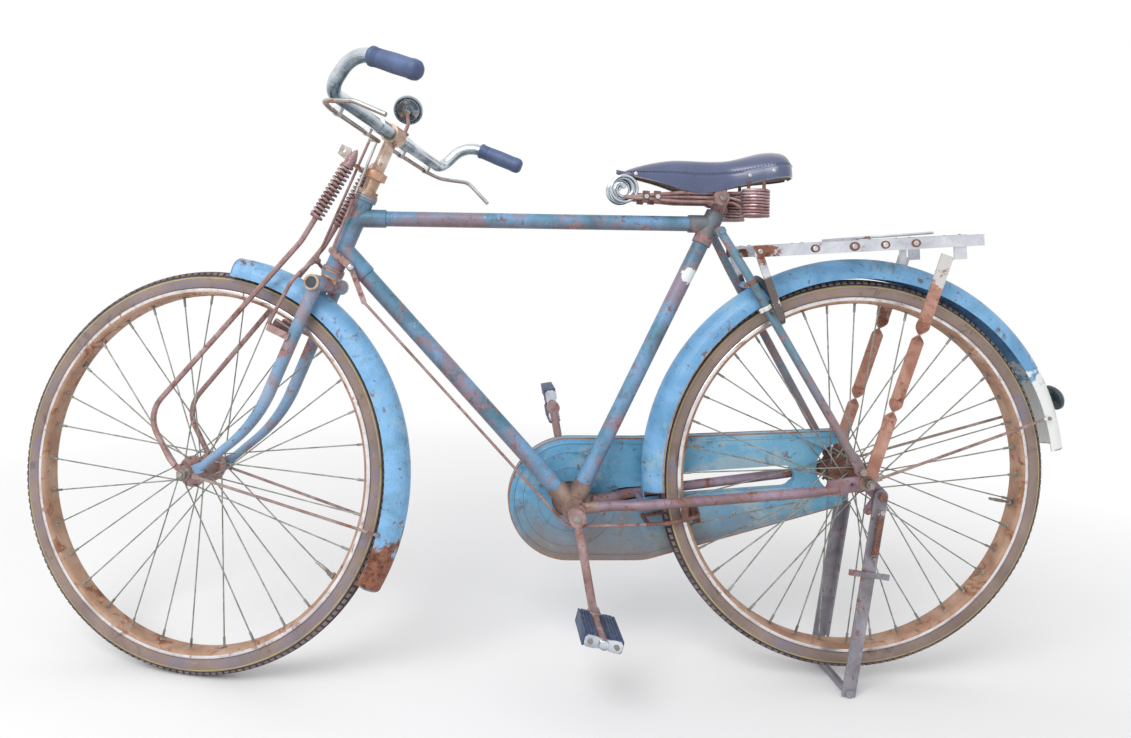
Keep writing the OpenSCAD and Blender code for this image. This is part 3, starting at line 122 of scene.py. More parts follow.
# Each frame takes millimetres: BIKE has its origin on the ground below the rear axle,
# HEAD runs up the steering axis and is turned with the fork, BAR follows the handlebar.
BIKE = Matrix.Translation(rear_hub_at) @ turn_about("Y", -lean_back) @ shift(0, 0, -TYRE_R * MM)
head_x = front_axis.cross(steer_axis)
HEAD = Matrix.Translation(steer_foot) @ Matrix(
    [[head_x[i], front_axis[i], steer_axis[i]] for i in range(3)]
).to_4x4()
BAR = HEAD @ turn_about("Z", BAR_TWIST)
FRONT_WHEEL = Matrix.Translation(front_hub_at) @ HEAD.to_3x3().to_4x4()
REAR_WHEEL = Matrix.Translation(rear_hub_at) @ BIKE.to_3x3().to_4x4()
ACROSS = turn_about("X", radians(-90))  # turns z towards the drive side


def at(place, x, y, z):
    """Point of the row frame, in metres, from millimetres in one of the frames above."""
    return place @ (Vector((x, y, z)) * MM)


def round_y(radius, angle, y=0.0):
    """Point at a radius from the y axis, at an angle in degrees up from x."""
    return Vector((radius * cos(radians(angle)), y, radius * sin(radians(angle))))


# ---------------------------------------------------------------- meshes


class Stock:
    """Faces gathered for one piece, in millimetres of a frame, each with its finish's number."""

    def __init__(self, place):
        self.place = place
        self.points, self.faces, self.marks = [], [], []

    def add(self, points, faces, finish=0):
        """Adds faces, with one finish or a list of one for each."""
        start = len(self.points)
        self.points += [self.place @ (Vector(p) * MM) for p in points]
        self.faces += [[start + i for i in f] for f in faces]
        self.marks += list(finish) if isinstance(finish, list) else [finish] * len(faces)

    def turned(self, place, outline, steps=48, finish=0, closed=False):
        """Turned shape: outline of (radius, height) around the z axis of place."""
        points, rows = [], []
        for r, h in outline:
            if r < 1e-6:
                rows.append([len(points)] * steps)
                points.append(place @ Vector((0, 0, h)))
                continue
            rows.append(list(range(len(points), len(points) + steps)))
            for k in range(steps):
                a = 2 * pi * k / steps
                points.append(place @ Vector((r * cos(a), r * sin(a), h)))
        pairs = [(i, i + 1) for i in range(len(outline) - 1)]
        if closed:
            pairs.append((len(outline) - 1, 0))
        faces, marks = [], []
        for a, b in pairs:
            for k in range(steps):
                j = (k + 1) % steps
                corners = list(dict.fromkeys([rows[a][k], rows[a][j], rows[b][j], rows[b][k]]))
                if len(corners) > 2:
                    faces.append(corners)
                    marks.append(finish[a] if isinstance(finish, (list, tuple)) else finish)
        self.add(points, faces, marks)

    def tube(self, path, radius, sides=10, finish=0, closed=False):
        """Round bar along a path, with one radius or one for each point."""
        path = [Vector(p) for p in path]
        count = len(path)
        radii = list(radius) if isinstance(radius, (list, tuple)) else [radius] * count
        tangents = []
        for i in range(count):
            before = path[(i - 1) % count] if closed else path[max(i - 1, 0)]
            after = path[(i + 1) % count] if closed else path[min(i + 1, count - 1)]
            tangents.append((after - before).normalized())
        side = tangents[0].orthogonal().normalized()
        points = []
        for p, t, r in zip(path, tangents, radii):
            side = (side - side.dot(t) * t).normalized()
            up = t.cross(side)
            for k in range(sides):
                a = 2 * pi * k / sides
                points.append(p + r * (cos(a) * side + sin(a) * up))
        faces = []
        for i in range(count if closed else count - 1):
            for k in range(sides):
                j = (k + 1) % sides
                n = (i + 1) % count
                faces.append([i * sides + k, i * sides + j, n * sides + j, n * sides + k])
        if not closed:
            faces.append(list(range(sides))[::-1])
            faces.append(list(range((count - 1) * sides, count * sides)))
        self.add(points, faces, finish)

    def slab(self, place, outline, low, high, finish=0):
        """Plate with an outline of (x, y) in place, from low to high along its z axis."""
        n = len(outline)
        points = [place @ Vector((x, y, h)) for h in (low, high) for x, y in outline]
        faces = [list(range(n))[::-1], list(range(n, 2 * n))]
        faces += [[i, (i + 1) % n, n + (i + 1) % n, n + i] for i in range(n)]
        self.add(points, faces, finish)

    def block(self, place, size, finish=0):
        """Box of a size, centred on place."""
        x, y, z = (s / 2 for s in size)
        self.slab(place, [(-x, -y), (x, -y), (x, y), (-x, y)], -z, z, finish)

    def make(self, name, body, finishes, slot, replaces=(), bevel=0.0, sharp=35):
        """The gathered faces as one finished piece that rides on a body."""
        mesh = bpy.data.meshes.new(name)
        mesh.from_pydata(self.points, [], self.faces)
        for finish in finishes:
            mesh.materials.append(finish)
        mesh.polygons.foreach_set("material_index", self.marks)
        shell = bmesh.new()
        shell.from_mesh(mesh)
        bmesh.ops.remove_doubles(shell, verts=shell.verts, dist=2e-6)
        bmesh.ops.recalc_face_normals(shell, faces=shell.faces)
        shell.to_mesh(mesh)
        shell.free()
        piece = linked(name, mesh)
        if bevel:
            edge = piece.modifiers.new("Edges", "BEVEL")
            edge.width = bevel * MM
            edge.segments = 2
            edge.limit_method = "ANGLE"
            edge.angle_limit = radians(40)
            piece = plain(piece)
        return settle(piece, body, replaces, sharp)


def linked(name, data):
    """New object of the scene."""
    made = bpy.data.objects.new(name, data)
    bpy.context.scene.collection.objects.link(made)
    return made


def plain(host):
    """A host's evaluated mesh as a plain object of the same name; the host is removed."""
    bpy.context.view_layer.update()
    evaluated = host.evaluated_get(bpy.context.evaluated_depsgraph_get())
    mesh = bpy.data.meshes.new_from_object(evaluated)
    name = host.name
    bpy.data.objects.remove(host)
    mesh.name = name
    return linked(name, mesh)


def settle(piece, body, replaces=(), sharp=35):
    """Smooth faces with crisp edges, then the piece rides on its body."""
    if not piece.data.polygons:
        raise RuntimeError(f"{piece.name} has no faces")
    piece.data.shade_smooth()
    piece.data.set_sharp_from_angle(angle=radians(sharp))
    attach(piece, body)
    if replaces:
        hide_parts(*replaces)
    return piece


def bend(points, radius, steps=6):
    """Polyline with its inner corners rounded, in the way of a bent bar."""
    points = [Vector(p) for p in points]
    radii = radius if isinstance(radius, (list, tuple)) else [radius] * (len(points) - 2)
    path = [points[0]]
    for i in range(1, len(points) - 1):
        into = (points[i] - points[i - 1]).normalized()
        out = (points[i + 1] - points[i]).normalized()
        angle = acos(max(-1.0, min(1.0, into.dot(out))))
        if angle < 0.01:
            path.append(points[i])
            continue
        side = (out - into.dot(out) * into).normalized()
        start = points[i] - into * radii[i - 1] * sin(angle / 2) / cos(angle / 2)
        for k in range(steps + 1):
            a = angle * k / steps
            path.append(start + radii[i - 1] * (sin(a) * into + (1 - cos(a)) * side))
    path.append(points[-1])
    return path


# ---------------------------------------------------------------- node trees for repeats and coils


def new_tree(name, inputs):
    """Empty geometry tree and the identifiers of its inputs, given as (label, kind, value)."""
    tree = bpy.data.node_groups.new(name, "GeometryNodeTree")
    keys = {}
    for label, kind, value in inputs:
        socket = tree.interface.new_socket(label, in_out="INPUT", socket_type="NodeSocket" + kind)
        if value is not None:
            socket.default_value = value
        keys[label] = socket.identifier
    tree.interface.new_socket("Geometry", in_out="OUTPUT", socket_type="NodeSocketGeometry")
    return tree, keys


def wire(tree, source, target):
    tree.links.new(source, target)


def finish_tree(tree, shapes, given):
    """Last nodes of a tree: real geometry in the given finish."""
    real = tree.nodes.new("GeometryNodeRealizeInstances")
    wire(tree, shapes, real.inputs["Geometry"])
    painted = tree.nodes.new("GeometryNodeSetMaterial")
    wire(tree, real.outputs["Geometry"], painted.inputs["Geometry"])
    wire(tree, given.outputs["Finish"], painted.inputs["Material"])
    result = tree.nodes.new("NodeGroupOutput")
    wire(tree, painted.outputs["Geometry"], result.inputs["Geometry"])


def repeat_tree(shape):
    """Tree that sets a small shape on each point, z along "facing" and x along "along"."""
    tree, keys = new_tree(
        "Repeat " + shape,
        [
            ("Points", "Geometry", None),
            ("Length", "Float", 0.006),
            ("Width", "Float", 0.006),
            ("Height", "Float", 0.002),
            ("Unevenness", "Float", 0.08),
            ("Seed", "Int", 7),
            ("Finish", "Material", None),
        ],
    )
    new = tree.nodes.new
    given = new("NodeGroupInput")
    size = new("ShaderNodeCombineXYZ")
    for axis, label in enumerate(("Length", "Width", "Height")):
        wire(tree, given.outputs[label], size.inputs[axis])
    if shape == "Dome":
        form = new("GeometryNodeMeshUVSphere")
        form.inputs["Segments"].default_value = 10
        form.inputs["Rings"].default_value = 6
        form.inputs["Radius"].default_value = 0.5
    elif shape == "Block":
        form = new("GeometryNodeMeshCube")
        form.inputs["Size"].default_value = (1, 1, 1)
    else:
        form = new("GeometryNodeMeshCylinder")
        form.inputs["Vertices"].default_value = 6 if shape == "Hexagon" else 12
        form.inputs["Radius"].default_value = 0.5
        form.inputs["Depth"].default_value = 1.0
    sized = new("GeometryNodeTransform")
    wire(tree, form.outputs["Mesh"], sized.inputs["Geometry"])
    wire(tree, size.outputs[0], sized.inputs["Scale"])
    turned = new("FunctionNodeAxesToRotation")
    turned.primary_axis = "Z"
    turned.secondary_axis = "X"
    for socket, label in enumerate(("facing", "along")):
        read = new("GeometryNodeInputNamedAttribute")
        read.data_type = "FLOAT_VECTOR"
        read.inputs["Name"].default_value = label
        wire(tree, read.outputs["Attribute"], turned.inputs[socket])
    low = new("ShaderNodeMath")
    low.operation = "SUBTRACT"
    low.inputs[0].default_value = 1.0
    wire(tree, given.outputs["Unevenness"], low.inputs[1])
    spread = new("FunctionNodeRandomValue")
    spread.data_type = "FLOAT"
    wire(tree, low.outputs[0], spread.inputs[2])
    spread.inputs[3].default_value = 1.0
    wire(tree, given.outputs["Seed"], spread.inputs["Seed"])
    placed = new("GeometryNodeInstanceOnPoints")
    wire(tree, given.outputs["Points"], placed.inputs["Points"])
    wire(tree, sized.outputs["Geometry"], placed.inputs["Instance"])
    wire(tree, turned.outputs["Rotation"], placed.inputs["Rotation"])
    wire(tree, spread.outputs[1], placed.inputs["Scale"])
    finish_tree(tree, placed.outputs["Instances"], given)
    return tree, keys


def coil_tree():
    """Tree that winds round wire into a helix along z."""
    tree, keys = new_tree(
        "Wound coil",
        [
            ("Turns", "Float", 10.0),
            ("Coil Radius", "Float", 0.01),
            ("Wire Radius", "Float", 0.002),
            ("Height", "Float", 0.1),
            ("Finish", "Material", None),
        ],
    )
    new = tree.nodes.new
    given = new("NodeGroupInput")
    helix = new("GeometryNodeCurveSpiral")
    helix.inputs["Resolution"].default_value = 22
    wire(tree, given.outputs["Turns"], helix.inputs["Rotations"])
    wire(tree, given.outputs["Coil Radius"], helix.inputs["Start Radius"])
    wire(tree, given.outputs["Coil Radius"], helix.inputs["End Radius"])
    wire(tree, given.outputs["Height"], helix.inputs["Height"])
    section = new("GeometryNodeCurvePrimitiveCircle")
    section.inputs["Resolution"].default_value = 8
    wire(tree, given.outputs["Wire Radius"], section.inputs["Radius"])
    swept = new("GeometryNodeCurveToMesh")
    swept.inputs["Fill Caps"].default_value = True
    wire(tree, helix.outputs["Curve"], swept.inputs["Curve"])
    wire(tree, section.outputs["Curve"], swept.inputs["Profile Curve"])
    finish_tree(tree, swept.outputs["Mesh"], given)
    return tree, keys


TREES = {}


def grow(host, shape, values):
    """Runs a node tree on a host object and returns the plain result."""
    if shape not in TREES:
        TREES[shape] = coil_tree() if shape == "Coil" else repeat_tree(shape)
    tree, keys = TREES[shape]
    modifier = host.modifiers.new(shape, "NODES")
    modifier.node_group = tree
    for label, value in values.items():
        modifier[keys[label]] = value
    return plain(host)


def repeat(name, body, shape, spots, size, finish, uneven=0.08, seed=7):
    """One piece of like small shapes on spots of (point, facing, along), with size in mm."""
    mesh = bpy.data.meshes.new(name)
    mesh.from_pydata([s[0] for s in spots], [], [])
    for label, index in (("facing", 1), ("along", 2)):
        store = mesh.attributes.new(label, "FLOAT_VECTOR", "POINT")
        store.data.foreach_set("vector", [c for s in spots for c in s[index]])
    host = linked(name, mesh)
    values = {
        "Length": size[0] * MM,
        "Width": size[1] * MM,
        "Height": size[2] * MM,
        "Unevenness": uneven,
        "Seed": seed,
        "Finish": finish,
    }
    return settle(grow(host, shape, values), body)


def coil(name, place, turns, radius, wire_r, height, finish):
    """Mesh object of one helical spring, standing on place, in mm."""
    host = linked(name, bpy.data.meshes.new(name))
    values = {
        "Turns": float(turns),
        "Coil Radius": radius * MM,
        "Wire Radius": wire_r * MM,
        "Height": height * MM,
        "Finish": finish,
    }
    piece = grow(host, "Coil", values)
    piece.data.transform(place)
    return piece


def spot(place, point, facing, along=(0, 0, 1)):
    """A repeat's spot: a point in mm and two directions of one frame, turned into the row frame."""
    turn = place.to_3x3()
    return at(place, *point), turn @ Vector(facing), turn @ Vector(along)


def side_spot(place, point, side):
    """A repeat's spot that faces the left (-1) or the right (1)."""
    return spot(place, point, (0, side, 0), (1, 0, 0))


# ---------------------------------------------------------------- finishes


def linear(red, green, blue):
    """Colour given as on a screen, 0 to 255, as a linear colour."""
    return tuple(
        (c / 255 / 12.92 if c / 255 <= 0.04045 else ((c / 255 + 0.055) / 1.055) ** 2.4)
        for c in (red, green, blue)
    )


class Finish:
    """One material's node tree, built layer by layer on the object's own coordinates."""

    def __init__(self, name):
        self.material = bpy.data.materials.new(name)
        self.material.use_nodes = True
        self.nodes = self.material.node_tree.nodes
        self.shader = self.nodes["Principled BSDF"]
        self.place = self.nodes.new("ShaderNodeTexCoord").outputs["Object"]

    def link(self, source, target):
        self.material.node_tree.links.new(source, target)

    def noise(self, size, detail=6.0, rough=0.6, distortion=0.0):
        grain = self.nodes.new("ShaderNodeTexNoise")
        grain.inputs["Scale"].default_value = size
        grain.inputs["Detail"].default_value = detail
        grain.inputs["Roughness"].default_value = rough
        grain.inputs["Distortion"].default_value = distortion
        self.link(self.place, grain.inputs["Vector"])
        return grain.outputs[0]

    def ramp(self, source, stops):
        """Colours of the stops, picked by a value."""
        ramp = self.nodes.new("ShaderNodeValToRGB")
        band = ramp.color_ramp
        while len(band.elements) < len(stops):
            band.elements.new(0.5)
        for element, (place, colour) in zip(band.elements, stops):
            element.position = place
            element.color = (*colour, 1)
        self.link(source, ramp.inputs["Fac"])
        return ramp.outputs["Color"]

    def level(self, source, low, high, out_low=0.0, out_high=1.0):
        """A value's range from low to high, stretched to another and held at its ends."""
        span = self.nodes.new("ShaderNodeMapRange")
        span.inputs["From Min"].default_value = low
        span.inputs["From Max"].default_value = high
        span.inputs["To Min"].default_value = out_low
        span.inputs["To Max"].default_value = out_high
        self.link(source, span.inputs["Value"])
        return span.outputs["Result"]

    def sum(self, a, b, operation="ADD"):
        """Two sockets or numbers, added or joined by another operation."""
        node = self.nodes.new("ShaderNodeMath")
        node.operation = operation
        for socket, value in zip(node.inputs, (a, b)):
            if isinstance(value, (int, float)):
                socket.default_value = value
            else:
                self.link(value, socket)
        return node.outputs[0]

    def mix(self, amount, under, over):
        """One colour laid over another by an amount."""
        node = self.nodes.new("ShaderNodeMix")
        node.data_type = "RGBA"
        for socket, value in ((0, amount), (6, under), (7, over)):
            if isinstance(value, (int, float)):
                node.inputs[socket].default_value = value
            elif isinstance(value, tuple):
                node.inputs[socket].default_value = (*value, 1)
            else:
                self.link(value, node.inputs[socket])
        return node.outputs[2]

    def part(self, axis):
        """One coordinate of the place on the object."""
        split = self.nodes.new("ShaderNodeSeparateXYZ")
        self.link(self.place, split.inputs[0])
        return split.outputs[axis]

    def facing(self, low, high, out_high=1.0):
        """0 to out_high as the surface's own normal goes from low to high in z."""
        face = self.nodes.new("ShaderNodeNewGeometry")
        split = self.nodes.new("ShaderNodeSeparateXYZ")
        self.link(face.outputs["Normal"], split.inputs[0])
        return self.level(split.outputs["Z"], low, high, 0, out_high)

    def within(self, centre, axis, radius):
        """1 where the surface is closer than radius to a wheel's axis."""
        steps = []
        for operation, value in (("SUBTRACT", centre), ("PROJECT", axis)):
            step = self.nodes.new("ShaderNodeVectorMath")
            step.operation = operation
            self.link(steps[-1] if steps else self.place, step.inputs[0])
            step.inputs[1].default_value = value
            steps.append(step.outputs["Vector"])
        away = self.nodes.new("ShaderNodeVectorMath")
        away.operation = "DISTANCE"
        self.link(steps[0], away.inputs[0])
        self.link(steps[1], away.inputs[1])
        return self.level(away.outputs["Value"], radius + 0.0006, radius)

    def near(self, centre, radius, soft=0.35):
        """1 near a point of the row frame, falling to 0 at radius, with a ragged edge."""
        away = self.nodes.new("ShaderNodeVectorMath")
        away.operation = "DISTANCE"
        away.inputs[1].default_value = centre
        self.link(self.place, away.inputs[0])
        grain = self.noise(max(38, 1.6 / radius), 5, 0.65)
        ragged = self.level(grain, 0.25, 0.75, -0.4 * radius, 0.4 * radius)
        reach = self.sum(away.outputs["Value"], ragged)
        return self.level(reach, radius, radius * (1 - soft))


# screen colours, 0 to 255
RUST = [(72, 42, 34), (118, 74, 56), (150, 98, 76), (96, 58, 48)]
IRON = [(92, 58, 48), (128, 84, 70), (154, 108, 92), (108, 70, 58)]
MAUVE = [(104, 74, 72), (142, 106, 106), (160, 126, 130), (116, 84, 84)]
BARE = [(112, 86, 78), (146, 124, 116), (168, 152, 146)]
DUST = (186, 172, 158)
# small chips and pits, as layers
SPECKS = [((112, 78, 62), 62, 0.60, 0.65, 0.85), ((70, 62, 66), 110, 0.63, 0.68, 0.7)]


def tones(colours):
    """Ramp stops spread over the middle of a noise, where most of its values lie."""
    last = max(len(colours) - 1, 1)
    return [(0.34 + 0.32 * i / last, linear(*c)) for i, c in enumerate(colours)]


def weathered(
    name,
    colours,
    patch=14.0,
    rust=0.0,
    rust_size=26.0,
    rust_colours=None,
    metal=0.0,
    rough=(0.35, 0.55),
    bump=0.25,
    grain=260.0,
    coat=0.0,
    dust=0.0,
    rusty_spots=(),
    pale_spots=(),
    specular=0.5,
    layers=(),
    under=None,
    fades=(),
    inner=None,
):
    """Worn finish of drifting tones, patches, painted shade with dirt below, rust that breaks
    through and dust.

    layers are (colour, size, low, high, amount) patches, and fades are (axis, from, to, colour,
    amount). under is painted shade with some dirt: a darker colour on faces that look down,
    broken into blots, given as (colour, amount), and then where the normal's z starts and ends
    it, if not as usual. pale_spots are (centre, radius, colour) and rusty_spots (centre, radius,
    strength). inner is (centre, axis, radius, colours) for what lies inside a guard.
    """
    look = Finish(name)
    shader = look.shader
    drift = look.noise(patch, 6, 0.62, 0.5)
    base = look.ramp(drift, tones(colours))
    fine = look.noise(grain, 6, 0.7)
    base = look.mix(look.level(fine, 0.45, 0.75, 0.0, 0.35), base, linear(*colours[0]))
    for colour, size, low, high, amount in layers:
        patchy = look.noise(size, 7, 0.68, 0.6)
        base = look.mix(look.level(patchy, low, high, 0, amount), base, linear(*colour))
    for axis, start, end, colour, amount in fades:
        waver = look.level(look.noise(17, 7, 0.7), 0.3, 0.7, -0.035, 0.035)
        ragged = look.sum(look.part(axis), waver)
        base = look.mix(look.level(ragged, start, end, 0, amount), base, linear(*colour))
    # painted shade with some dirt: faces that look down take a darker colour, broken into blots
    if under:
        colour, amount, *turn = under
        start, end = turn or (0.25, -0.75)
        blots = look.level(look.noise(24, 6, 0.7), 0.35, 0.6, 0.55, 1.0)
        grime_and_shade = look.sum(look.facing(start, end, amount), blots, "MULTIPLY")
        base = look.mix(grime_and_shade, base, linear(*colour))
    for centre, radius, colour in pale_spots:
        base = look.mix(look.near(centre, radius, 0.12), base, linear(*colour))
    if inner:
        *inside, colours = inner
        bare = look.ramp(look.noise(45, 7, 0.7), tones(colours))
        base = look.mix(look.within(*inside), base, bare)
    height = fine
    metallic = None
    rough_now = look.level(fine, 0.3, 0.7, *rough)
    if rust or rusty_spots:
        spread = look.noise(rust_size, 9, 0.72, 0.7)
        for centre, radius, strength in rusty_spots:
            rise = look.sum(look.near(centre, radius, 0.9), strength, "MULTIPLY")
            spread = look.sum(spread, rise)
        edge = 0.68 - 0.32 * rust
        mask = look.level(spread, edge - 0.035, edge + 0.035)
        browns = look.ramp(look.noise(75, 7, 0.7, 0.3), tones(rust_colours or RUST))
        base = look.mix(mask, base, browns)
        height = look.sum(look.sum(fine, 0.35, "MULTIPLY"), look.sum(mask, 0.4, "MULTIPLY"))
        rough_now = look.level(mask, 0, 1, (rough[0] + rough[1]) / 2, 0.88)
        if metal:
            metallic = look.level(mask, 0, 1, metal, 0.1)
    if dust:
        cover = look.sum(look.facing(0.2, 1.0, dust), look.level(fine, 0.3, 0.7), "MULTIPLY")
        base = look.mix(cover, base, linear(*DUST))
    look.link(base, shader.inputs["Base Color"])
    look.link(rough_now, shader.inputs["Roughness"])
    if metallic is not None:
        look.link(metallic, shader.inputs["Metallic"])
    else:
        shader.inputs["Metallic"].default_value = metal
    shader.inputs["Specular IOR Level"].default_value = specular
    shader.inputs["Coat Weight"].default_value = coat
    shader.inputs["Coat Roughness"].default_value = 0.25
    relief = look.nodes.new("ShaderNodeBump")
    relief.inputs["Strength"].default_value = bump
    relief.inputs["Distance"].default_value = 0.0008
    look.link(height, relief.inputs["Height"])
    look.link(relief.outputs["Normal"], shader.inputs["Normal"])
    return look.material


FINISH = {}


def set_finish(node, material):
    """Gives a CAD node's own slots a better material."""
    piece = NODES[node]
    if not piece.data.materials:
        piece.data.materials.append(material)
    for slot in piece.material_slots:
        slot.material = material


def shade(colour, gain):
    """A linear colour setting as 0 to 255 screen values, lighter or darker by gain."""
    screen = []
    for c in colour:
        c *= gain
        curve = 1.055 * c ** (1 / 2.4) - 0.055 if c > 0.0031 else 12.92 * c
        screen.append(255 * min(1.0, curve))
    return tuple(screen)


def guard_spot(place, guard, angle):
    """Point on the crown of a mudguard, in metres."""
    return place @ ((round_y(guard[0], angle) + GUARD_SHIFT) * MM)


def inside_guard(centre, axis, guard):
    """What is bare inside a guard, for its finish."""
    return centre, axis, (guard[0] - GUARD_DEPTH - 1.5) * MM, BARE


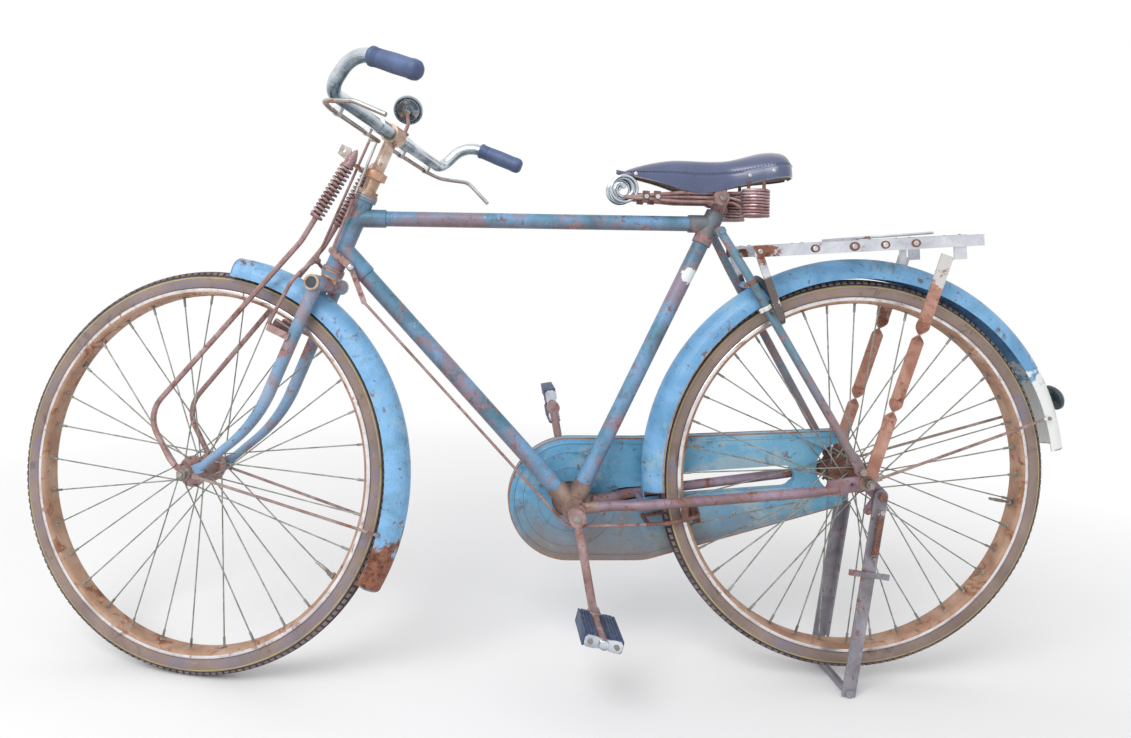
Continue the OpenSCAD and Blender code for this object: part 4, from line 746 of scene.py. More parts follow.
def mixed_finishes(look):
    """Fills FINISH with every material, by a short name for what it covers."""
    amount = look.rust_amount
    guard_tail = guard_spot(REAR_WHEEL, REAR_GUARD, REAR_GUARD[1])
    front_tail = guard_spot(FRONT_WHEEL, FRONT_GUARD, FRONT_GUARD[1])
    front_nose = guard_spot(FRONT_WHEEL, FRONT_GUARD, 105)
    guard_rust = [(front_tail, 0.15, 0.42), (front_nose, 0.05, 0.2)]
    chip = at(BIKE, -306, -14, 712)
    plates = [at(BIKE, 124, side * 72, 742) for side in SIDES]
    crown = at(HEAD, 0, 0, 752)
    bands = [at(HEAD, -12, side * 44, 622) for side in SIDES]
    rail_ends = [at(BIKE, -200, side * 75, 754) for side in SIDES]
    straps = [
        at(BIKE, x, side * 48, z) for side in SIDES for x, z in ((-160, 650), (-175, 690))
    ]
    # every under= below darkens the faces that look down: painted shade, with dirt and rust tones
    # in it
    FINISH.update(
        tube=weathered(
            "tube_paint", [(66, 106, 126), (88, 136, 164), (116, 158, 198), (98, 128, 150)],
            patch=8, rust=0.27 * amount, rust_size=19, rough=(0.36, 0.56), coat=0.15,
            rust_colours=MAUVE,
            layers=[
                ((148, 120, 130), 12, 0.5, 0.58, 0.75), ((84, 96, 104), 34, 0.58, 0.64, 0.6),
                ((172, 194, 214), 55, 0.64, 0.7, 0.6), *SPECKS,
            ],
            under=((104, 80, 74), 0.75), pale_spots=[(chip, 0.016, (226, 232, 232))],
        ),
        lug=weathered(
            "lug_paint", [(92, 108, 116), (118, 118, 120), (128, 114, 108)],
            patch=16, rust=0.36 * amount, rust_size=26, rough=(0.4, 0.6), rust_colours=MAUVE,
            layers=[((96, 132, 156), 20, 0.52, 0.6, 0.6), *SPECKS], under=((92, 72, 66), 0.7),
        ),
        bracket=weathered(
            "bracket_steel", [(128, 104, 94), (158, 134, 124), (178, 158, 148)],
            patch=26, rust=0.34 * amount, rust_size=38, metal=0.3, rough=(0.42, 0.62), bump=0.35,
            rust_colours=IRON,
            layers=[((112, 134, 152), 22, 0.56, 0.62, 0.6), *SPECKS], under=((96, 70, 60), 0.6),
        ),
        stay=weathered(
            "stay_paint", [(80, 120, 138), (104, 146, 166), (126, 156, 180)],
            patch=11, rust=0.3 * amount, rust_size=22, rough=(0.4, 0.6), coat=0.1,
            rust_colours=MAUVE,
            layers=[((138, 114, 116), 15, 0.54, 0.6, 0.7), *SPECKS],
            fades=[("Z", 0.64, 0.46, (140, 110, 106), 0.75)], under=((84, 66, 62), 0.6),
        ),
        guard=weathered(
            "guard_paint", [(84, 138, 176), (104, 158, 202), (122, 176, 218), (98, 148, 184)],
            patch=7, rust=0.08 * amount, rust_size=24, rough=(0.36, 0.56), coat=0.12,
            layers=[
                ((148, 178, 194), 13, 0.55, 0.6, 0.55), ((70, 116, 148), 24, 0.58, 0.66, 0.55),
                *SPECKS,
            ],
            rusty_spots=guard_rust,
            pale_spots=[(guard_tail, 0.155, (232, 234, 232))],
            inner=inside_guard(rear_hub_at, (0, 1, 0), REAR_GUARD),
        ),
        front_guard=weathered(
            "front_guard_paint",
            [(88, 140, 176), (110, 162, 206), (128, 180, 222), (104, 152, 186)],
            patch=7, rust=0.08 * amount, rust_size=24, rough=(0.36, 0.56), coat=0.12,
            layers=[
                ((156, 182, 196), 13, 0.54, 0.6, 0.55), ((72, 118, 150), 24, 0.58, 0.66, 0.5),
                *SPECKS,
            ],
            rusty_spots=guard_rust,
            inner=inside_guard(front_hub_at, front_axis, FRONT_GUARD),
        ),
        guard_edge=weathered(
            "guard_edge", [(86, 128, 156), (110, 150, 180), (126, 120, 116)],
            patch=16, rust=0.42 * amount, rust_size=26, rough=(0.5, 0.7), rust_colours=IRON,
            pale_spots=[(guard_tail, 0.155, (216, 212, 206))],
        ),
        case=weathered(
            "case_paint", [(80, 140, 172), (100, 162, 198), (122, 180, 210)],
            patch=8, rust=0.1 * amount, rust_size=22, rough=(0.42, 0.62), coat=0.08,
            rust_colours=IRON,
            layers=[
                ((166, 184, 190), 9, 0.54, 0.62, 0.7), ((66, 108, 128), 18, 0.6, 0.68, 0.6),
                *SPECKS,
            ],
            fades=[("Z", 0.33, 0.2, (132, 112, 96), 0.9)],
        ),
        case_edge=weathered(
            "case_edge", [(136, 88, 62), (168, 114, 84), (120, 130, 136)],
            patch=18, rust=0.35 * amount, rust_size=30, rough=(0.6, 0.8), bump=0.4,
            rust_colours=IRON,
        ),
        fork=weathered(
            "fork_paint", [(98, 138, 168), (122, 160, 196), (144, 166, 192)],
            patch=9, rust=0.2 * amount, rust_size=24, rough=(0.38, 0.58), coat=0.12,
            rust_colours=MAUVE,
            layers=[((158, 126, 122), 15, 0.52, 0.6, 0.7), *SPECKS], under=((96, 84, 84), 0.6),
            rusty_spots=[(crown, 0.062, 0.3)] + [(b, 0.026, 0.5) for b in bands],
        ),
        rusty=weathered(
            "rusty_steel", [(140, 108, 104), (166, 136, 134), (186, 162, 162)],
            patch=26, rust=0.32 * amount, rust_size=42, metal=0.2, rough=(0.42, 0.62), bump=0.35,
            rust_colours=IRON, layers=SPECKS, under=((100, 74, 68), 0.5),
        ),
        stay_steel=weathered(
            "chain_stay_steel", [(116, 96, 104), (146, 124, 138), (162, 146, 164)],
            patch=13, rust=0.32 * amount, rust_size=24, metal=0.15, rough=(0.42, 0.62), bump=0.3,
            rust_colours=IRON, layers=SPECKS, under=((108, 72, 60), 0.8),
        ),
        dark_rust=weathered(
            "dark_rust", [(92, 66, 60), (122, 90, 80), (146, 112, 102)],
            patch=34, rust=0.42 * amount, rust_size=50, metal=0.25, rough=(0.5, 0.7), bump=0.4,
            rust_colours=IRON,
        ),
        coil=weathered(
            "fork_coil_steel", [(126, 98, 100), (162, 134, 138), (190, 168, 172)],
            patch=30, rust=0.3 * amount, rust_size=60, metal=0.45, rough=(0.36, 0.56), bump=0.25,
            rust_colours=IRON, under=((70, 50, 48), 0.7),
        ),
        saddle_coil=weathered(
            "saddle_coil_steel", [(150, 112, 110), (188, 156, 158), (216, 198, 204)],
            patch=30, rust=0.22 * amount, rust_size=60, metal=0.75, rough=(0.24, 0.44), bump=0.15,
            rust_colours=IRON, under=((96, 62, 56), 0.8),
        ),
        dull=weathered(
            "dull_steel", [(112, 104, 100), (150, 142, 136), (182, 174, 168)],
            patch=40, rust=0.24 * amount, rust_size=60, metal=0.7, rough=(0.3, 0.5),
            rust_colours=IRON,
        ),
        spoke=weathered(
            "spoke_wire", [(112, 108, 100), (142, 146, 138), (168, 172, 166)],
            patch=46, rust=0.2 * amount, rust_size=64, metal=0.45, rough=(0.36, 0.56), bump=0.1,
        ),
        # chrome with painted reflections: the dark teal patches and the dark teal on faces that
        # look down stand in for what it mirrors; the small brown specks are rust
        bright=weathered(
            "worn_chrome", [(176, 184, 194), (206, 212, 220), (230, 234, 240)],
            patch=12, rust=0.05 * amount, rust_size=70, metal=0.95, rough=(0.12, 0.28), bump=0.06,
            layers=[((98, 128, 138), 11, 0.62, 0.72, 0.35), ((120, 96, 84), 110, 0.67, 0.7, 0.7)],
            under=((54, 84, 94), 0.95, -0.05, -0.6),
        ),
        lever=weathered(
            "lever_chrome", [(146, 152, 150), (182, 188, 188), (206, 210, 212)],
            patch=22, rust=0.2 * amount, rust_size=44, metal=0.75, rough=(0.25, 0.45), bump=0.15,
            rust_colours=IRON, under=((134, 88, 68), 0.95),
        ),
        column=weathered(
            "stem_plate", [(150, 116, 96), (188, 160, 138), (222, 210, 198)],
            patch=20, rust=0.24 * amount, rust_size=34, metal=0.5, rough=(0.28, 0.48), bump=0.2,
            rust_colours=IRON,
        ),
        strap=weathered(
            "copper_strap", [(150, 104, 80), (190, 146, 118), (216, 180, 154)],
            patch=26, rust=0.15 * amount, rust_size=50, metal=0.5, rough=(0.35, 0.55),
            rust_colours=IRON,
        ),
        rim_side=weathered(
            "rim_chrome", [(196, 188, 188), (224, 220, 222), (238, 238, 240)],
            patch=20, rust=0.14 * amount, rust_size=40, metal=0.85, rough=(0.2, 0.4), bump=0.1,
            layers=[((150, 116, 98), 30, 0.56, 0.64, 0.7)],
        ),
        rim_face=weathered(
            "rim_face_rust", [(148, 112, 92), (174, 138, 114), (188, 158, 140)],
            patch=14, rust=0.34 * amount, rust_size=28, metal=0.15, rough=(0.5, 0.7), bump=0.3,
            rust_colours=[(108, 70, 52), (146, 98, 72), (164, 118, 92)],
        ),
        alloy=weathered(
            "carrier_alloy", [(186, 192, 202), (216, 220, 228), (238, 240, 244)],
            patch=14, rust=0.04 * amount, rust_size=40, metal=0.55, rough=(0.26, 0.42), bump=0.08,
            layers=[((150, 130, 122), 26, 0.62, 0.68, 0.5)], under=((120, 110, 112), 0.8),
            rusty_spots=[(p, 0.036, 0.3) for p in rail_ends],
            pale_spots=[(p, 0.036, (104, 96, 92)) for p in straps],
        ),
        strip=weathered(
            "strip_rust", [(146, 100, 84), (176, 130, 112), (192, 152, 138)],
            patch=20, rust=0.3 * amount, rust_size=36, metal=0.12, rough=(0.5, 0.7), bump=0.4,
            rust_colours=IRON, pale_spots=[(p, 0.042, (206, 204, 200)) for p in plates],
        ),
        stand=weathered(
            "stand_steel", [(118, 112, 116), (146, 144, 154), (164, 160, 168)],
            patch=13, rust=0.26 * amount, rust_size=26, metal=0.3, rough=(0.42, 0.62), bump=0.3,
            rust_colours=IRON, layers=SPECKS,
        ),
        # dark enamel of the ring lock and the reflector, and also painted shade in the bell's slots
        # and the fork crown's bores
        dark=weathered(
            "dark_enamel", [(34, 44, 50), (50, 62, 70), (74, 84, 92)],
            patch=30, rust=0.14 * amount, rust_size=50, rough=(0.3, 0.5), coat=0.2,
        ),
        pale=weathered(
            "pale_enamel", [(206, 204, 198), (226, 226, 222), (236, 236, 234)],
            patch=24, rust=0.16 * amount, rust_size=46, rough=(0.35, 0.5), coat=0.2,
        ),
        saddle=weathered(
            "saddle_vinyl", [shade(look.saddle_colour, g) for g in (0.8, 1.0, 1.25)],
            patch=9, rough=(0.2, 0.34), coat=0.6, grain=520, bump=0.12, dust=0.1,
            layers=[((60, 50, 54), 30, 0.62, 0.7, 0.5)], under=((40, 36, 42), 0.6),
        ),
        pan=weathered(
            "saddle_pan", [(58, 48, 46), (84, 66, 60), (104, 84, 76)], patch=20, rust=0.3,
            rough=(0.6, 0.8),
        ),
        grip=weathered(
            "grip_rubber", [shade(look.grip_colour, g) for g in (0.75, 1.0, 1.35)],
            patch=20, rough=(0.42, 0.6), grain=420, bump=0.2,
            layers=[((92, 88, 96), 34, 0.58, 0.66, 0.6)], under=((52, 54, 70), 0.7),
        ),
        pedal=weathered(
            "pedal_rubber", [(50, 60, 84), (70, 84, 114), (96, 110, 138)],
            patch=40, rough=(0.5, 0.7), bump=0.3, under=((44, 46, 58), 0.6),
        ),
        tyre=weathered(
            "tyre_rubber", [shade(look.tyre_colour, g) for g in (0.72, 0.95, 1.15)],
            patch=8, rough=(0.7, 0.9), grain=340, bump=0.4, specular=0.25,
            layers=[
                ((126, 124, 146), 7, 0.5, 0.6, 0.55), ((88, 76, 76), 30, 0.58, 0.68, 0.6),
                ((178, 160, 146), 52, 0.64, 0.7, 0.5),
            ],
        ),
        tread=weathered(
            "tyre_tread", [(58, 52, 56), (76, 68, 72), (94, 86, 88)], patch=16, rough=(0.78, 0.95),
            bump=0.5, specular=0.2,
        ),
        tread_lug=weathered(
            "tread_block", [(98, 90, 92), (124, 112, 112), (146, 132, 126)], patch=26,
            rough=(0.78, 0.95), bump=0.4, specular=0.2,
        ),
        tyre_line=weathered(
            "tyre_line", [(150, 138, 84), (184, 172, 110), (160, 146, 98)], patch=14,
            rough=(0.7, 0.9), bump=0.3,
        ),
        pad=weathered(
            "brake_rubber", [(60, 52, 50), (82, 70, 66), (104, 92, 86)], patch=40, rough=(0.7, 0.9),
            bump=0.3,
        ),
        thread=weathered("saddle_thread", [(40, 42, 56), (58, 62, 82)], patch=60, rough=(0.7, 0.9)),
        rivet=weathered(
            "old_rivet", [(170, 160, 156), (206, 200, 198), (228, 224, 222)],
            patch=60, rust=0.12, rust_size=80, metal=0.7, rough=(0.3, 0.5), rust_colours=IRON,
        ),
    )


# ---------------------------------------------------------------- settings


def colour_setting(name, description, default):
    return FloatVectorProperty(
        name=name, description=description, subtype="COLOR", size=3, min=0, max=1, default=default
    )


def number_setting(name, description, default, least, most, **kind):
    return FloatProperty(
        name=name, description=description, default=default, min=least, max=most, **kind
    )


def length_setting(name, description, default, least, most):
    return number_setting(
        name, description, default, least, most, unit="LENGTH", subtype="DISTANCE"
    )


class BicycleLooks(bpy.types.PropertyGroup):
    """Sizes and colours that change the bicycle's looks."""

    rust_amount: number_setting(
        "Rust", "How far rust has spread on paint and steel", 1.0, 0, 1.6, subtype="FACTOR"
    )
    saddle_colour: colour_setting(
        "Saddle Colour", "Colour of the saddle's vinyl", linear(72, 82, 116)
    )
    grip_colour: colour_setting("Grip Colour", "Colour of the grips' rubber", linear(78, 96, 134))
    tyre_colour: colour_setting(
        "Tyre Colour", "Colour of the dusty tyres", linear(146, 128, 120)
    )
    tread_blocks: IntProperty(
        name="Tread Blocks",
        description="Blocks around each shoulder of a tyre",
        default=172,
        min=60,
        max=240,
    )
    fork_turns: number_setting("Fork Spring Turns", "Turns of each fork spring", 12.5, 6, 18)
    saddle_turns: number_setting(
        "Saddle Spring Turns", "Turns of each rear saddle spring", 8.5, 5, 12
    )
    stitch: length_setting(
        "Stitch", "Distance from one saddle stitch to the next", 0.0055, 0.003, 0.012
    )
    bead: length_setting(
        "Guard Bead", "Radius of the rolled edge of the mudguards", 0.0016, 0.0008, 0.003
    )
    rivet: length_setting(
        "Rivet Head", "Diameter of the carrier's rivet heads", 0.0095, 0.006, 0.014
    )


class StudioSettings(bpy.types.PropertyGroup):
    """Floor, light and camera."""

    floor_colour: colour_setting("Floor Colour", "Colour of the floor", (0.94, 0.94, 0.95))
    sky_light: number_setting("Sky Light", "Strength of the light from all round", 0.72, 0, 3)
    key_light: number_setting(
        "Key Light", "Power of the large soft lamp", 95.0, 0, 1000, unit="POWER"
    )
    focal_length: number_setting(
        "Focal Length", "Focal length of the camera, in millimetres", 24.27, 10, 200
    )


def settings(context):
    return context.scene.bicycle_looks


class BIKE_OT_finishes(bpy.types.Operator):
    """Mix the finishes and put them on the frame parts that keep their shape"""

    bl_idname = "bicycle.finishes"
    bl_label = "Finishes"

    def execute(self, context):
        mixed_finishes(settings(context))
        groups = {
            "tube": ["head_tube", "top_tube", "down_tube", "seat_tube"],
            "lug": ["seat_lug"],
            "bracket": ["bottom_bracket"],
            "stay": ["left_seat_stay", "right_seat_stay"],
            "guard": ["rear_mudguard"],
            "front_guard": ["front_mudguard"],
            "case": ["chaincase"],
            "fork": ["fork"],
            "rusty": [
                "seat_post", "fork_struts", "front_brake", "brake_linkage", "left_crank",
                "right_crank", "front_hub",
            ],
            "lever": ["brake_levers"],
            "column": ["steering_column"],
            "stay_steel": ["left_chain_stay", "right_chain_stay"],
            "dark_rust": ["rear_brake", "stand_bracket", "rear_hub"],
            "dull": ["rear_axle", "front_axle", "crank_axle", "lamp_bracket"],
            "spoke": ["front_spokes", "rear_spokes"],
            "bright": ["handlebar"],
            "alloy": ["carrier"],
            "strip": ["carrier_stays"],
            "stand": ["stand_legs"],
            "dark": ["ring_lock", "rear_reflector"],
        }
        for finish, nodes in groups.items():
            for node in nodes:
                set_finish(node, FINISH[finish])
        return {"FINISHED"}


# ---------------------------------------------------------------- wheels


def tyre_outline():
    """Tyre section as (radius, height) from bead to bead, with the finish of each step."""
    half = [
        # bead and sidewall, with a pale line near its top
        (323.4, 15.6, 0), (325.0, 17.6, 0), (325.8, 18.4, 0), (327.2, 18.5, 0), (328.4, 19.2, 0),
        (333.0, 19.9, 0), (338.0, 19.8, 0), (341.4, 19.1, 1), (343.3, 18.5, 0),
        # shoulder, then two ribs and half the middle one
        (344.6, 17.6, 2), (348.0, 15.2, 2), (350.6, 12.6, 2), (351.6, 11.6, 2), (352.9, 10.9, 2),
        (353.6, 8.2, 2), (352.4, 7.6, 2), (352.7, 6.4, 2), (354.1, 5.8, 2), (354.5, 2.6, 2),
        (353.2, 2.0, 2), (353.3, 0.0, 2),
    ]
    left = [(r, -y, f) for r, y, f in half]
    right = [(r, y, f) for r, y, f in reversed(half[:-1])]
    finishes = [f for _, _, f in left] + [half[i - 1][2] for i in range(len(half) - 1, 0, -1)]
    closing = [(322.0, 13.0), (322.0, -13.0)]
    outline = [(r, y) for r, y, _ in left + right] + closing
    return outline, (finishes + [0] * len(outline))[: len(outline)]


# half of the rim's section as (radius, height, finish): inner face, bright edge, bed
RIM_SECTION = [
    (312.4, 0.0, 0), (311.6, 6.0, 0), (311.2, 11.0, 0), (312.0, 15.0, 0), (314.2, 17.6, 0),
    (317.4, 18.9, 1), (321.2, 19.3, 1), (323.3, 18.6, 1), (323.9, 17.2, 1), (323.0, 16.0, 1),
    (321.2, 15.6, 1), (317.0, 15.4, 0), (314.8, 13.4, 0), (313.8, 8.0, 0), (313.6, 0.0, 0),
]


class BIKE_OT_tyres(bpy.types.Operator):
    """Tyres with a ribbed tread, shoulder blocks and a pale line on each side"""

    bl_idname = "bicycle.tyres"
    bl_label = "Tyres"

    def execute(self, context):
        look = settings(context)
        finishes = [FINISH["tyre"], FINISH["tyre_line"], FINISH["tread"]]
        outline, marks = tyre_outline()
        for wheel, place in (("front", FRONT_WHEEL), ("rear", REAR_WHEEL)):
            body = wheel + "_wheel"
            stock = Stock(place)
            stock.turned(ACROSS, outline, 180, marks, closed=True)
            stock.make(
                wheel + "_tyre_cover", body, finishes, "tyre_rubber", [wheel + "_tyre"], sharp=60
            )
            spots = []
            for side in SIDES:
                for k in range(look.tread_blocks):
                    a = 2 * pi * (k + (0.25 if side > 0 else 0)) / look.tread_blocks
                    out = Vector((cos(a), 0, sin(a)))
                    face = out * 0.78 + Vector((0, side * 0.62, 0))  # square to the shoulder
                    along = Vector((-sin(a), 0, cos(a)))
                    point = out * 349.2 + Vector((0, side * 13.6, 0))
                    spots.append(spot(place, point, face, along))
            repeat(
                wheel + "_tread_blocks", body, "Block", spots, (8.2, 6.4, 3.6),
                FINISH["tread_lug"], 0.06, 11,
            )
        return {"FINISHED"}


class BIKE_OT_rims(bpy.types.Operator):
    """Rims with rolled edges, and an eyelet around each spoke nipple"""

    bl_idname = "bicycle.rims"
    bl_label = "Rims"

    def execute(self, context):
        mirrored = [(r, -y) for r, y, _ in reversed(RIM_SECTION[1:-1])]
        outline = [(r, y) for r, y, _ in RIM_SECTION] + mirrored
        marks = [f for _, _, f in RIM_SECTION[:-1]] + [0]
        marks += [RIM_SECTION[i][2] for i in range(len(RIM_SECTION) - 3, 0, -1)] + [0]
        for wheel, place, count in (("front", FRONT_WHEEL, 32), ("rear", REAR_WHEEL, 40)):
            body = wheel + "_wheel"
            stock = Stock(place)
            stock.turned(ACROSS, outline, 160, marks, closed=True)
            stock.make(
                wheel + "_rim_section", body, [FINISH["rim_face"], FINISH["rim_side"]],
                "rusty_steel", [wheel + "_rim"], sharp=50,
            )
            spots = []
            for i in range(count):
                a = 2 * pi * i / count
                side = -1 if i % 2 == 0 else 1
                out = Vector((cos(a), 0, sin(a)))
                point = out * (RIM_R + 0.1) + Vector((0, side * 3, 0))
                spots.append(spot(place, point, -out, (-sin(a), 0, cos(a))))
            repeat(
                wheel + "_eyelets", body, "Dome", spots, (9.5, 9.5, 2.6),
                FINISH["dull"], 0.05, 5,
            )
            valve = Stock(place)
            lie = turn_about("Y", radians(100)) @ shift(0, 0, 268)
            valve.turned(
                lie,
                [
                    (0, 0), (2.2, 0), (2.6, 2), (2.6, 10), (3.1, 10.5), (3.1, 26), (2.4, 27),
                    (2.4, 44), (0, 44),
                ],
                14,
            )
            valve.turned(
                lie @ shift(0, 0, 36), [(0, 0), (5.2, 0), (5.8, 1), (5.8, 4), (5.2, 5), (0, 5)], 6
            )
            valve.make(wheel + "_valve", body, [FINISH["dull"]], "dull_steel")
        return {"FINISHED"}


# ---------------------------------------------------------------- springs


class BIKE_OT_fork_springs(bpy.types.Operator):
    """Wound fork springs with pointed caps, and the strap that ties them to the stem"""

    bl_idname = "bicycle.fork_springs"
    bl_label = "Fork Springs"

    def execute(self, context):
        look = settings(context)
        rise = SPRING_TOP - SPRING_FOOT
        long = rise.length
        fittings = Stock(HEAD)
        for side in SIDES:
            stand = shift(
                SPRING_FOOT.x, side * STRUT_Y, SPRING_FOOT.z
            ) @ turn_about("Y", atan2(rise.x, rise.z))
            name = SIDES[side] + "_fork_spring"
            spring = coil(
                name, HEAD @ metres(stand @ shift(0, 0, 4)), look.fork_turns, 10.4, 2.3, 98,
                FINISH["coil"],
            )
            settle(spring, "fork")
            fittings.turned(
                stand,
                [(0, 0), (7, 0), (11.5, 1), (11.8, 4), (8, 6), (5.2, 7), (5.2, 104), (0, 104)], 20,
                0,
            )
            cap = [
                (0, 102), (9, 102), (11.4, 103.5), (11.4, 107), (9.2, 108.5), (9.4, 120),
                (8.2, 123), (7.4, long - 7), (5, long - 1), (1.9, long + 5), (0, long + 5.6),
            ]
            fittings.turned(stand, cap, 24, 1)
        ear = STRUT_Y + 7
        half = [(-16, 9), (-26, 10), (-26, STRUT_Y), (-30, ear), (-38, ear), (-42, STRUT_Y)]
        plate = [(x, -y) for x, y in reversed(half)] + half
        fittings.slab(shift(0, 0, 958), plate, 0, 3, 2)
        fittings.turned(
            shift(0, 0, 953), [(16, 0), (19.2, 0), (19.6, 1), (19.6, 13), (19.2, 14), (16, 14)], 36,
            2, closed=True,
        )
        for side in SIDES:
            fittings.block(shift(-24, side * 5, 959.5), (14, 3, 10), 2)
        fittings.turned(
            shift(-23, 0, 959.5) @ ACROSS @ shift(0, 0, -12),
            [(0, 0), (5.4, 0), (5.4, 4), (3, 4), (3, 20), (5.4, 20), (5.4, 24), (0, 24)], 6, 1,
        )
        finishes = [FINISH["dark_rust"], FINISH["coil"], FINISH["strap"]]
        fittings.make(
            "fork_spring_fittings", "fork", finishes, "rusty_steel", ["fork_springs"], bevel=0.3
        )
        return {"FINISHED"}


class BIKE_OT_stand_spring(bpy.types.Operator):
    """The stand's wound return spring, hooked on two studs"""

    bl_idname = "bicycle.stand_spring"
    bl_label = "Stand Spring"

    def execute(self, context):
        leg = shift(*STAND_PIVOT) @ turn_about("Y", pi + STAND_LEAN)
        y = -(STAND_HALF + 10)
        spring = coil(
            "stand_return_spring", BIKE @ metres(leg @ shift(0, y, 33)), 18, 4.7, 1.6, 68,
            FINISH["dark_rust"],
        )
        settle(spring, "stand")
        studs = Stock(BIKE)
        for z in (26, 108):
            studs.turned(
                leg @ shift(0, y - 4.4, z) @ ACROSS,
                [(0, 0), (4.3, 0.4), (4.4, 1.6), (3.0, 2.4), (3.0, 12.4), (0, 12.4)], 16, 0,
            )
        for low, high in ((26, 33), (101, 108)):
            hook = [(0, y + 1, low), (4.2, y + 1, (low + high) / 2), (4.6, y + 1, high)]
            studs.tube([leg @ Vector(p) for p in bend(hook, 4)], 1.6, 8, 0)
        studs.make("stand_spring_studs", "stand", [FINISH["dull"]], "rusty_steel", ["stand_spring"])
        return {"FINISHED"}


# ---------------------------------------------------------------- saddle

SADDLE_LEN = 309.0
SADDLE_REAR = CLAMP.x + 128
SADDLE_BASE = CLAMP.z + 22
NOSE_COIL_R = 18.5
NOSE_T = (SADDLE_REAR - NOSE.x) / SADDLE_LEN
NOSE_LIFT = NOSE.z + NOSE_COIL_R + 3.9 - SADDLE_BASE
SEAM_ANGLE = 17.0


def swell(t, centre, width):
    return exp(-(((t - centre) / width) ** 2))


def saddle_low(t):
    return SADDLE_BASE + 12 * swell(t, 0.05, 0.2) - 4 * swell(t, 0.5, 0.2) + NOSE_LIFT * (
        max(t, 0) / NOSE_T
    ) ** 4


def saddle_top(t):
    return SADDLE_BASE + 47 + 15 * swell(t, 0.13, 0.18) - 12 * t**6


def saddle_half(t):
    if t < 0.42:
        k = sin(pi / 2 * t / 0.42) ** 1.6
        return 100 + (38 - 100) * k
    return 38 + (21 - 38) * (t - 0.42) / 0.58


def saddle_round(t, back):
    ends = sqrt(max(0.0, 1 - max(0.0, 1 - t / back) ** 2))
    return ends * sqrt(max(0.0, 1 - max(0.0, (t - 0.92) / 0.08) ** 2))


def saddle_point(t, angle, inset=0.6):
    """Point of the saddle's cover: t from rear to nose, angle from the left edge over the top."""
    half = saddle_half(t) * saddle_round(t, 0.2) - inset
    low = saddle_low(t) + 0.3
    tip = max(0.0, (t - 0.66) / 0.34)
    top = low + (saddle_top(t) - saddle_low(t) - 15 * tip**1.4) * saddle_round(t, 0.08) - inset
    top = max(top, low + 6.5)
    a = radians(angle)
    lift = max(sin(a), 0.0) ** 0.7
    # the sides hang lower than the pan along the narrow middle
    low -= 13 * swell(t, 0.54, 0.18) * (1 - lift) ** 2
    # a shallow hollow where a rider sits, deepest along the middle of the rear half
    hollow = 4.0 * swell(t, 0.38, 0.18) * max(sin(a), 0.0) ** 6
    groove = 1.1 * swell(min(angle, 180 - angle), SEAM_ANGLE, 1.3)
    return Vector(
        (SADDLE_REAR - t * SADDLE_LEN, -(half - groove) * cos(a), low + (top - low) * lift - hollow)
    )


class BIKE_OT_saddle(bpy.types.Operator):
    """Saddle: crowned vinyl cover with a stitched seam, on a dark pan"""

    bl_idname = "bicycle.saddle"
    bl_label = "Saddle"

    def execute(self, context):
        look = settings(context)
        # closer together around the seam
        angles = [0, 3, 7, 11, 14, 15.5, 17, 18.5, 20, 24, 30, 37, 45, 54, 63, 72, 81, 90]
        angles += [180 - a for a in reversed(angles[:-1])]
        rings = 64
        stations = [0.5 - 0.5 * cos(radians(3.4 + 173 * i / rings)) for i in range(rings + 1)]
        points, faces, marks = [], [], []
        row = len(angles) + 4
        for t in stations:
            over = [saddle_point(t, a) for a in angles]
            left, right = over[0], over[-1]
            # the cover tucks under by a few millimetres, and the pan lies a little higher
            tuck = min(6.0, abs(left.y) * 0.4)
            hem, pan = Vector((0, tuck, -0.2)), Vector((0, tuck * 1.25, 2.6))
            back = Vector((1, -1, 1))
            points += over + [right + hem * back, right + pan * back, left + pan, left + hem]
        for i in range(rings):
            for k in range(row):
                j = (k + 1) % row
                faces.append([i * row + k, i * row + j, (i + 1) * row + j, (i + 1) * row + k])
                marks.append(1 if len(angles) <= k <= len(angles) + 1 else 0)
        faces.append(list(range(row)))
        faces.append(list(range(rings * row, (rings + 1) * row))[::-1])
        marks += [0, 0]
        stock = Stock(BIKE)
        stock.add(points, faces, marks)
        cover = stock.make(
            "saddle_cover", "frame", [FINISH["saddle"], FINISH["pan"]], "saddle_vinyl", ["saddle"],
            sharp=50,
        )
        self.stitches(look)
        self.rivets()
        return {"FINISHED"}

    def stitches(self, look):
        """Stitches just above the seam, from the nose round both sides."""
        spots = []
        for mirror in (False, True):
            walked, last = 0.0, None
            for i in range(900):
                t = 0.03 + 0.93 * i / 899
                angle = SEAM_ANGLE + 3.4
                p = saddle_point(t, 180 - angle if mirror else angle, 0.3)
                if last is not None:
                    walked += (p - last).length * MM
                    if walked >= look.stitch:
                        walked = 0.0
                        along = (p - last).normalized()
                        out = Vector((0, 1 if mirror else -1, 0.5))
                        spots.append(spot(BIKE, p, out, along))
                last = p
        repeat(
            "saddle_stitches", "frame", "Block", spots, (3.4, 0.8, 0.7),
            FINISH["thread"], 0.15, 3,
        )

    def rivets(self):
        """Rivets near the nose and along the rear edge."""
        spots = []
        for t, angle in ((0.90, 9), (0.16, 8), (0.27, 8)):
            for mirror in (False, True):
                p = saddle_point(t, 180 - angle if mirror else angle, 0.4)
                spots.append(spot(BIKE, p, (0, 1 if mirror else -1, 0.1), (1, 0, 0)))
        repeat(
            "saddle_rivets", "frame", "Dome", spots, (7.5, 7.5, 2.6), FINISH["rivet"],
            0.05, 2,
        )


